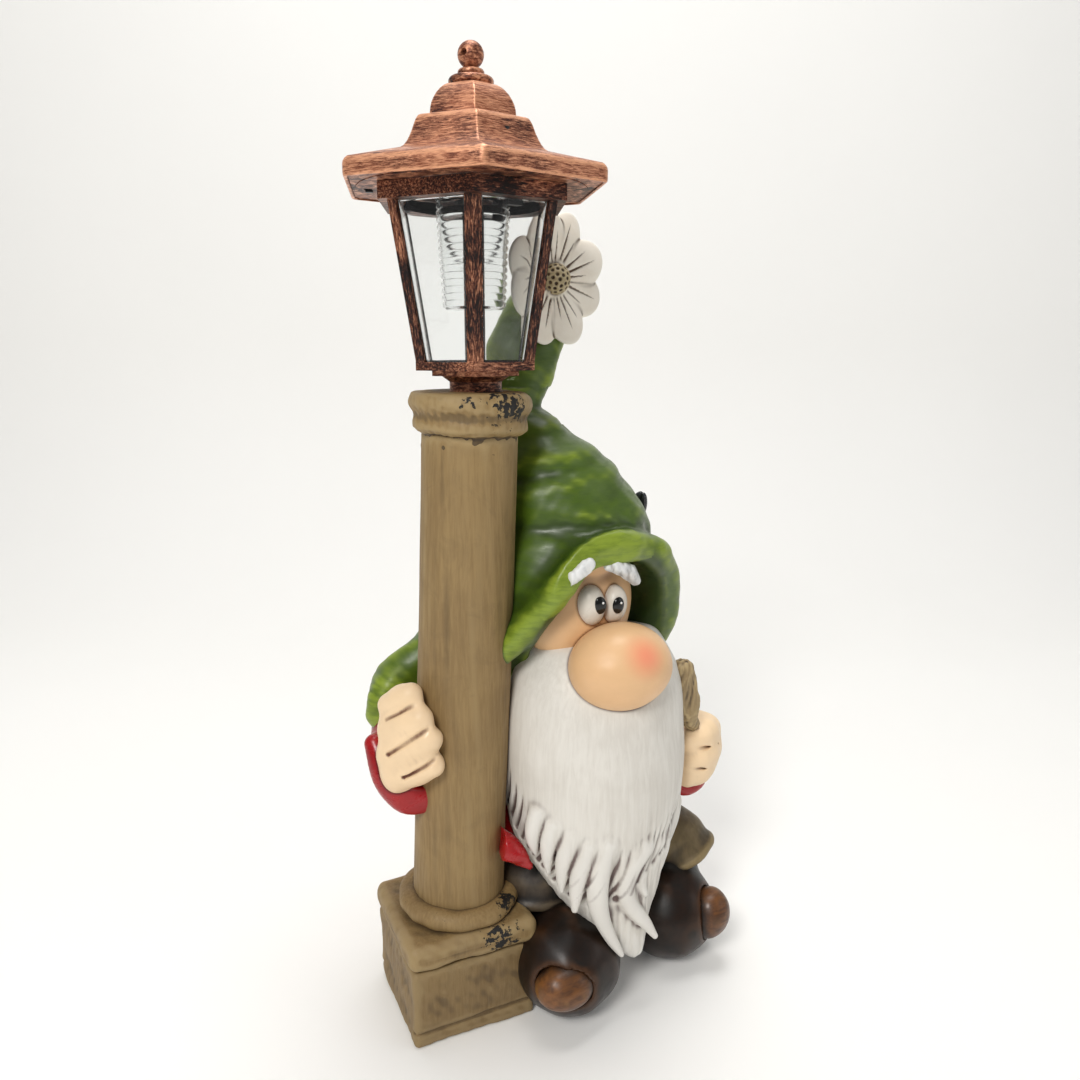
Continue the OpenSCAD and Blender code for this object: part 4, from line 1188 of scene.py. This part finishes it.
RIBS, TUBE_TOP = 16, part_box("diffuser_tube")[1].z / MM
TUBE_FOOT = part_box("diffuser_tube")[0].z / MM
tall = TUBE_TOP - TUBE_FOOT
tube_out, tube_in = [], []
for i in range(RIBS * 8 + 1):
    t = i / (RIBS * 8)
    bulge = abs(math.sin(math.pi * t * RIBS)) ** 0.7
    tube_out.append(circle(13.4 + 2.6 * t + 1.1 * bulge, TUBE_FOOT + 0.6 + t * (tall - 2.6)))
    tube_in.append(circle(12.6 + 2.6 * t + 0.7 * bulge, TUBE_FOOT + 1.4 + t * (tall - 3.4)))
flange = [circle(17.8, TUBE_TOP - 2), circle(18.1, TUBE_TOP - 1.7), circle(18.1, TUBE_TOP - 0.2),
          circle(17.8, TUBE_TOP - 0.05), circle(15.2, TUBE_TOP - 0.05)]
tube_rings = [circle(8, TUBE_FOOT), circle(12.6, TUBE_FOOT)] + tube_out + flange + tube_in[::-1]
tube = stacked("Diffuser", tube_rings + [circle(8, TUBE_FOOT + 1.3)])


def clear_plastic(name, rough=0.03, wavy=0.08, ior=1.4):
    m = Paint(name, rough, Transmission_Weight=1.0, IOR=ior)
    tint = (0.97, 0.98, 0.98, 1)
    wave = m.noise(60, 2, 0.5)
    m.dented(wave, wavy)
    cloud = m.noise(90, 4, 0.6)
    return m.done(m.mix(cloud, tint, dimmed(tint, 0.985)), m.band(cloud, 0.3, 0.7, rough, rough + 0.03))


clear = clear_plastic("clear_plastic_look")
ribbed = clear_plastic("ribbed_plastic", rough=0.09, wavy=0.01, ior=1.12)
belongs(tube, "roof", ["diffuser_tube"], ribbed)
PANE_LO, PANE_HI = (c.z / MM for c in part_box("lantern_panes"))
FOOT_R, TOP_R, LINER = 28.0, 40.1, 1.2


def pane_r(z):
    return FOOT_R + (TOP_R - FOOT_R) * (z - PANE_LO) / (PANE_HI - PANE_LO)


PANE_MID = (PANE_LO + PANE_HI) / 2
liner_out = [hexagon(FOOT_R - 1.2, 2.4, CAGE_TURN, PANE_LO)]
liner_out += [hexagon(pane_r(z), 2.0, CAGE_TURN, z)
              for z in (PANE_LO + 0.6, PANE_LO + 3, PANE_MID, PANE_HI - 0.4)]
liner_in = [hexagon(pane_r(z) - LINER * 1.15, 5.5, CAGE_TURN, z)
            for z in (PANE_HI - 0.2, PANE_MID, PANE_LO + 3.4, PANE_LO + 1.4)]
liner = stacked("Clear_liner", liner_out + [hexagon(TOP_R - 0.5, 2.2, CAGE_TURN, PANE_HI)] + liner_in)
belongs(liner, "lantern", ["lantern_panes"], clear)


# ---------- finishes of the CAD pieces that stay ----------
def inner_black(m, colour):
    """Bare black plastic on the faces that look at the lantern's axis."""
    away = m.node("VectorMath", operation="SUBTRACT")
    m.put(away.inputs[0], m.place)
    away.inputs[1].default_value = [LAMP[0] * MM, LAMP[1] * MM, 0]
    flat = m.node("VectorMath", operation="MULTIPLY")
    m.put(flat.inputs[0], away.outputs[0])
    flat.inputs[1].default_value = (1, 1, 0)
    unit = m.node("VectorMath", operation="NORMALIZE")
    m.put(unit.inputs[0], flat.outputs[0])
    face_way = m.node("VectorMath", operation="DOT_PRODUCT")
    m.put(face_way.inputs[0], unit.outputs[0])
    m.put(face_way.inputs[1], m.node("TexCoord").outputs["Normal"])
    return m.mix(m.band(face_way.outputs["Value"], -0.75, -0.5, 1, 0), colour, rgb(16, 17, 22))


def bevelled(node, width):
    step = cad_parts[node].modifiers.new("soft_edges", "BEVEL")
    step.width, step.segments = width * MM, 2
    step.limit_method, step.angle_limit = "ANGLE", math.radians(28)
    step.harden_normals = True


def dress(material, *nodes, soften=0.3):
    for node in nodes:
        mesh_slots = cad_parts[node].data.materials
        for i in range(len(mesh_slots)):
            mesh_slots[i] = material
        if not len(mesh_slots):
            mesh_slots.append(material)
        if soften:
            bevelled(node, soften)


def solar(m, colour):
    grid = m.scaled((1, 1, 1), (0, 0, -ROOF_TURN))
    fine = m.node("TexWave", wave_type="BANDS", bands_direction="X")
    m.put(fine.inputs["Vector"], grid)
    fine.inputs["Scale"].default_value = 130
    bars = m.node("TexWave", wave_type="BANDS", bands_direction="Y")
    m.put(bars.inputs["Vector"], grid)
    bars.inputs["Scale"].default_value = 22
    thin, thick = m.band(fine.outputs["Fac"], 0.93, 0.97), m.band(bars.outputs["Fac"], 0.985, 0.995)
    lines = m.math("MAXIMUM", thin, thick)
    return m.mix(lines, colour, rgb(150, 156, 166))


def solar_paint():
    m = Paint("solar_cell_look", 0.25, Coat_Weight=0.3)
    shard = m.cells(160)
    return m.done(solar(m, m.mix(m.band(shard, 0.1, 0.7), rgb(16, 24, 60), rgb(30, 44, 100))), 0.25)


def board_paint():
    m = Paint("board_look", 0.4)
    trace = m.band(m.cells(420, feature="DISTANCE_TO_EDGE"), 0.02, 0.05, 1, 0)
    pad = m.band(m.cells(260, randomness=0.2), 0.16, 0.2, 1, 0)
    colour = m.mix(trace, rgb(18, 82, 44), rgb(30, 110, 60))
    return m.done(m.mix(pad, colour, rgb(196, 190, 170)), 0.4)


cage_rings = [(0, 340), (407.5, 500)]  # the heights where the brush went round and not up and down
dress(copper("cage_look", (1300, 1300, 150), 0.07, inner_black, cage_rings), "lantern_cage")
dress(copper_ring, "lantern_base", "finial_rings", "finial_ball", soften=0)
dress(copper("spigot_look", (300, 300, 900), 0.05), "lantern_spigot", soften=0)
dress(copper("soffit_look", (200, 200, 200), 0.03), "soffit_ring", "module_tray", soften=0.2)
dress(plain_shader("black_plastic_look", rgb(26, 26, 28), 0.42), "bayonet_lugs", "battery_cover",
      "switch_housing", "switch_slider", "roof_pillars")
dress(solar_paint(), "solar_cell", soften=0)
dress(clear_plastic("solar_cover_look"), "solar_cover", soften=0.1)
dress(board_paint(), "circuit_board", soften=0)
dress(plain_shader("led_look", rgb(238, 240, 236), 0.15, Transmission_Weight=0.7), "led", soften=0)
dress(plain_shader("battery_look", rgb(36, 120, 150), 0.35), "battery", soften=0)
dress(plain_shader("metal_look", rgb(196, 196, 192), 0.3, Metallic=1.0), "battery_contacts", "tray_screws",
      soften=0)


# ---------- floor, light and camera ----------
def backdrop():
    """A pale sweep: floor, a soft bend and a wall, square to the camera's heading."""
    line = [(-2.2, 0)] + [(0.62 + 0.35 * math.sin(a), 0.35 - 0.35 * math.cos(a))
                          for a in np.linspace(0, math.pi / 2, 13)] + [(0.97, 2.4)]
    right = Vector((math.cos(HEADING), math.sin(HEADING), 0))
    ahead = Vector((-math.sin(HEADING), math.cos(HEADING), 0))
    v = [(right * side + ahead * a + Vector((0, 0, z))) / MM for side in (-2.4, 2.4) for a, z in line]
    n = len(line)
    obj = new_object("Backdrop", v, [(i, n + i, n + i + 1, i + 1) for i in range(n - 1)])
    m = Paint("backdrop_paper", 0.85, Emission_Color=(1, 1, 0.99, 1), Emission_Strength=0.04)
    obj.data.materials.append(m.done(m.mix(m.noise(3, 3, 0.5), rgb(244, 243, 240), rgb(240, 239, 236))))


def area(name, place, aim, size, power, colour=(1, 1, 1)):
    data = bpy.data.lights.new(name, "AREA")
    data.shape, data.size, data.energy, data.color = "DISK", size, power, colour
    obj = bpy.data.objects.new(name, data)
    obj.location = place
    obj.rotation_euler = (Vector(aim) - Vector(place)).to_track_quat("-Z", "Y").to_euler()
    bpy.context.scene.collection.objects.link(obj)


HEADING = math.radians(-24.4)
backdrop()
mid = (cad_lo + cad_hi) / 2
area("Key", (-0.95, -1.0, 1.35), mid, 0.55, 19, (1, 0.985, 0.96))
area("Fill", (1.2, -1.0, 0.8), mid, 1.0, 2.2, (0.97, 0.985, 1))
area("Top", (0.1, 0.1, 1.9), mid, 0.8, 15)
world = bpy.data.worlds.new("Studio")
world.use_nodes = True
world.node_tree.nodes["Background"].inputs["Color"].default_value = (1, 1, 1, 1)
world.node_tree.nodes["Background"].inputs["Strength"].default_value = 0.25
bpy.context.scene.world = world
bpy.context.scene.view_settings.view_transform = "Standard"

lens = bpy.data.cameras.new("Camera")
lens.lens, lens.sensor_width = 29.72, 36
lens.clip_start, lens.clip_end = 0.02, 20
camera = bpy.data.objects.new("Camera", lens)
camera.location = (-0.1336, -0.4064, 0.3483)
camera.rotation_euler = (math.radians(77.475), 0, HEADING)
bpy.context.scene.collection.objects.link(camera)
bpy.context.scene.camera = camera
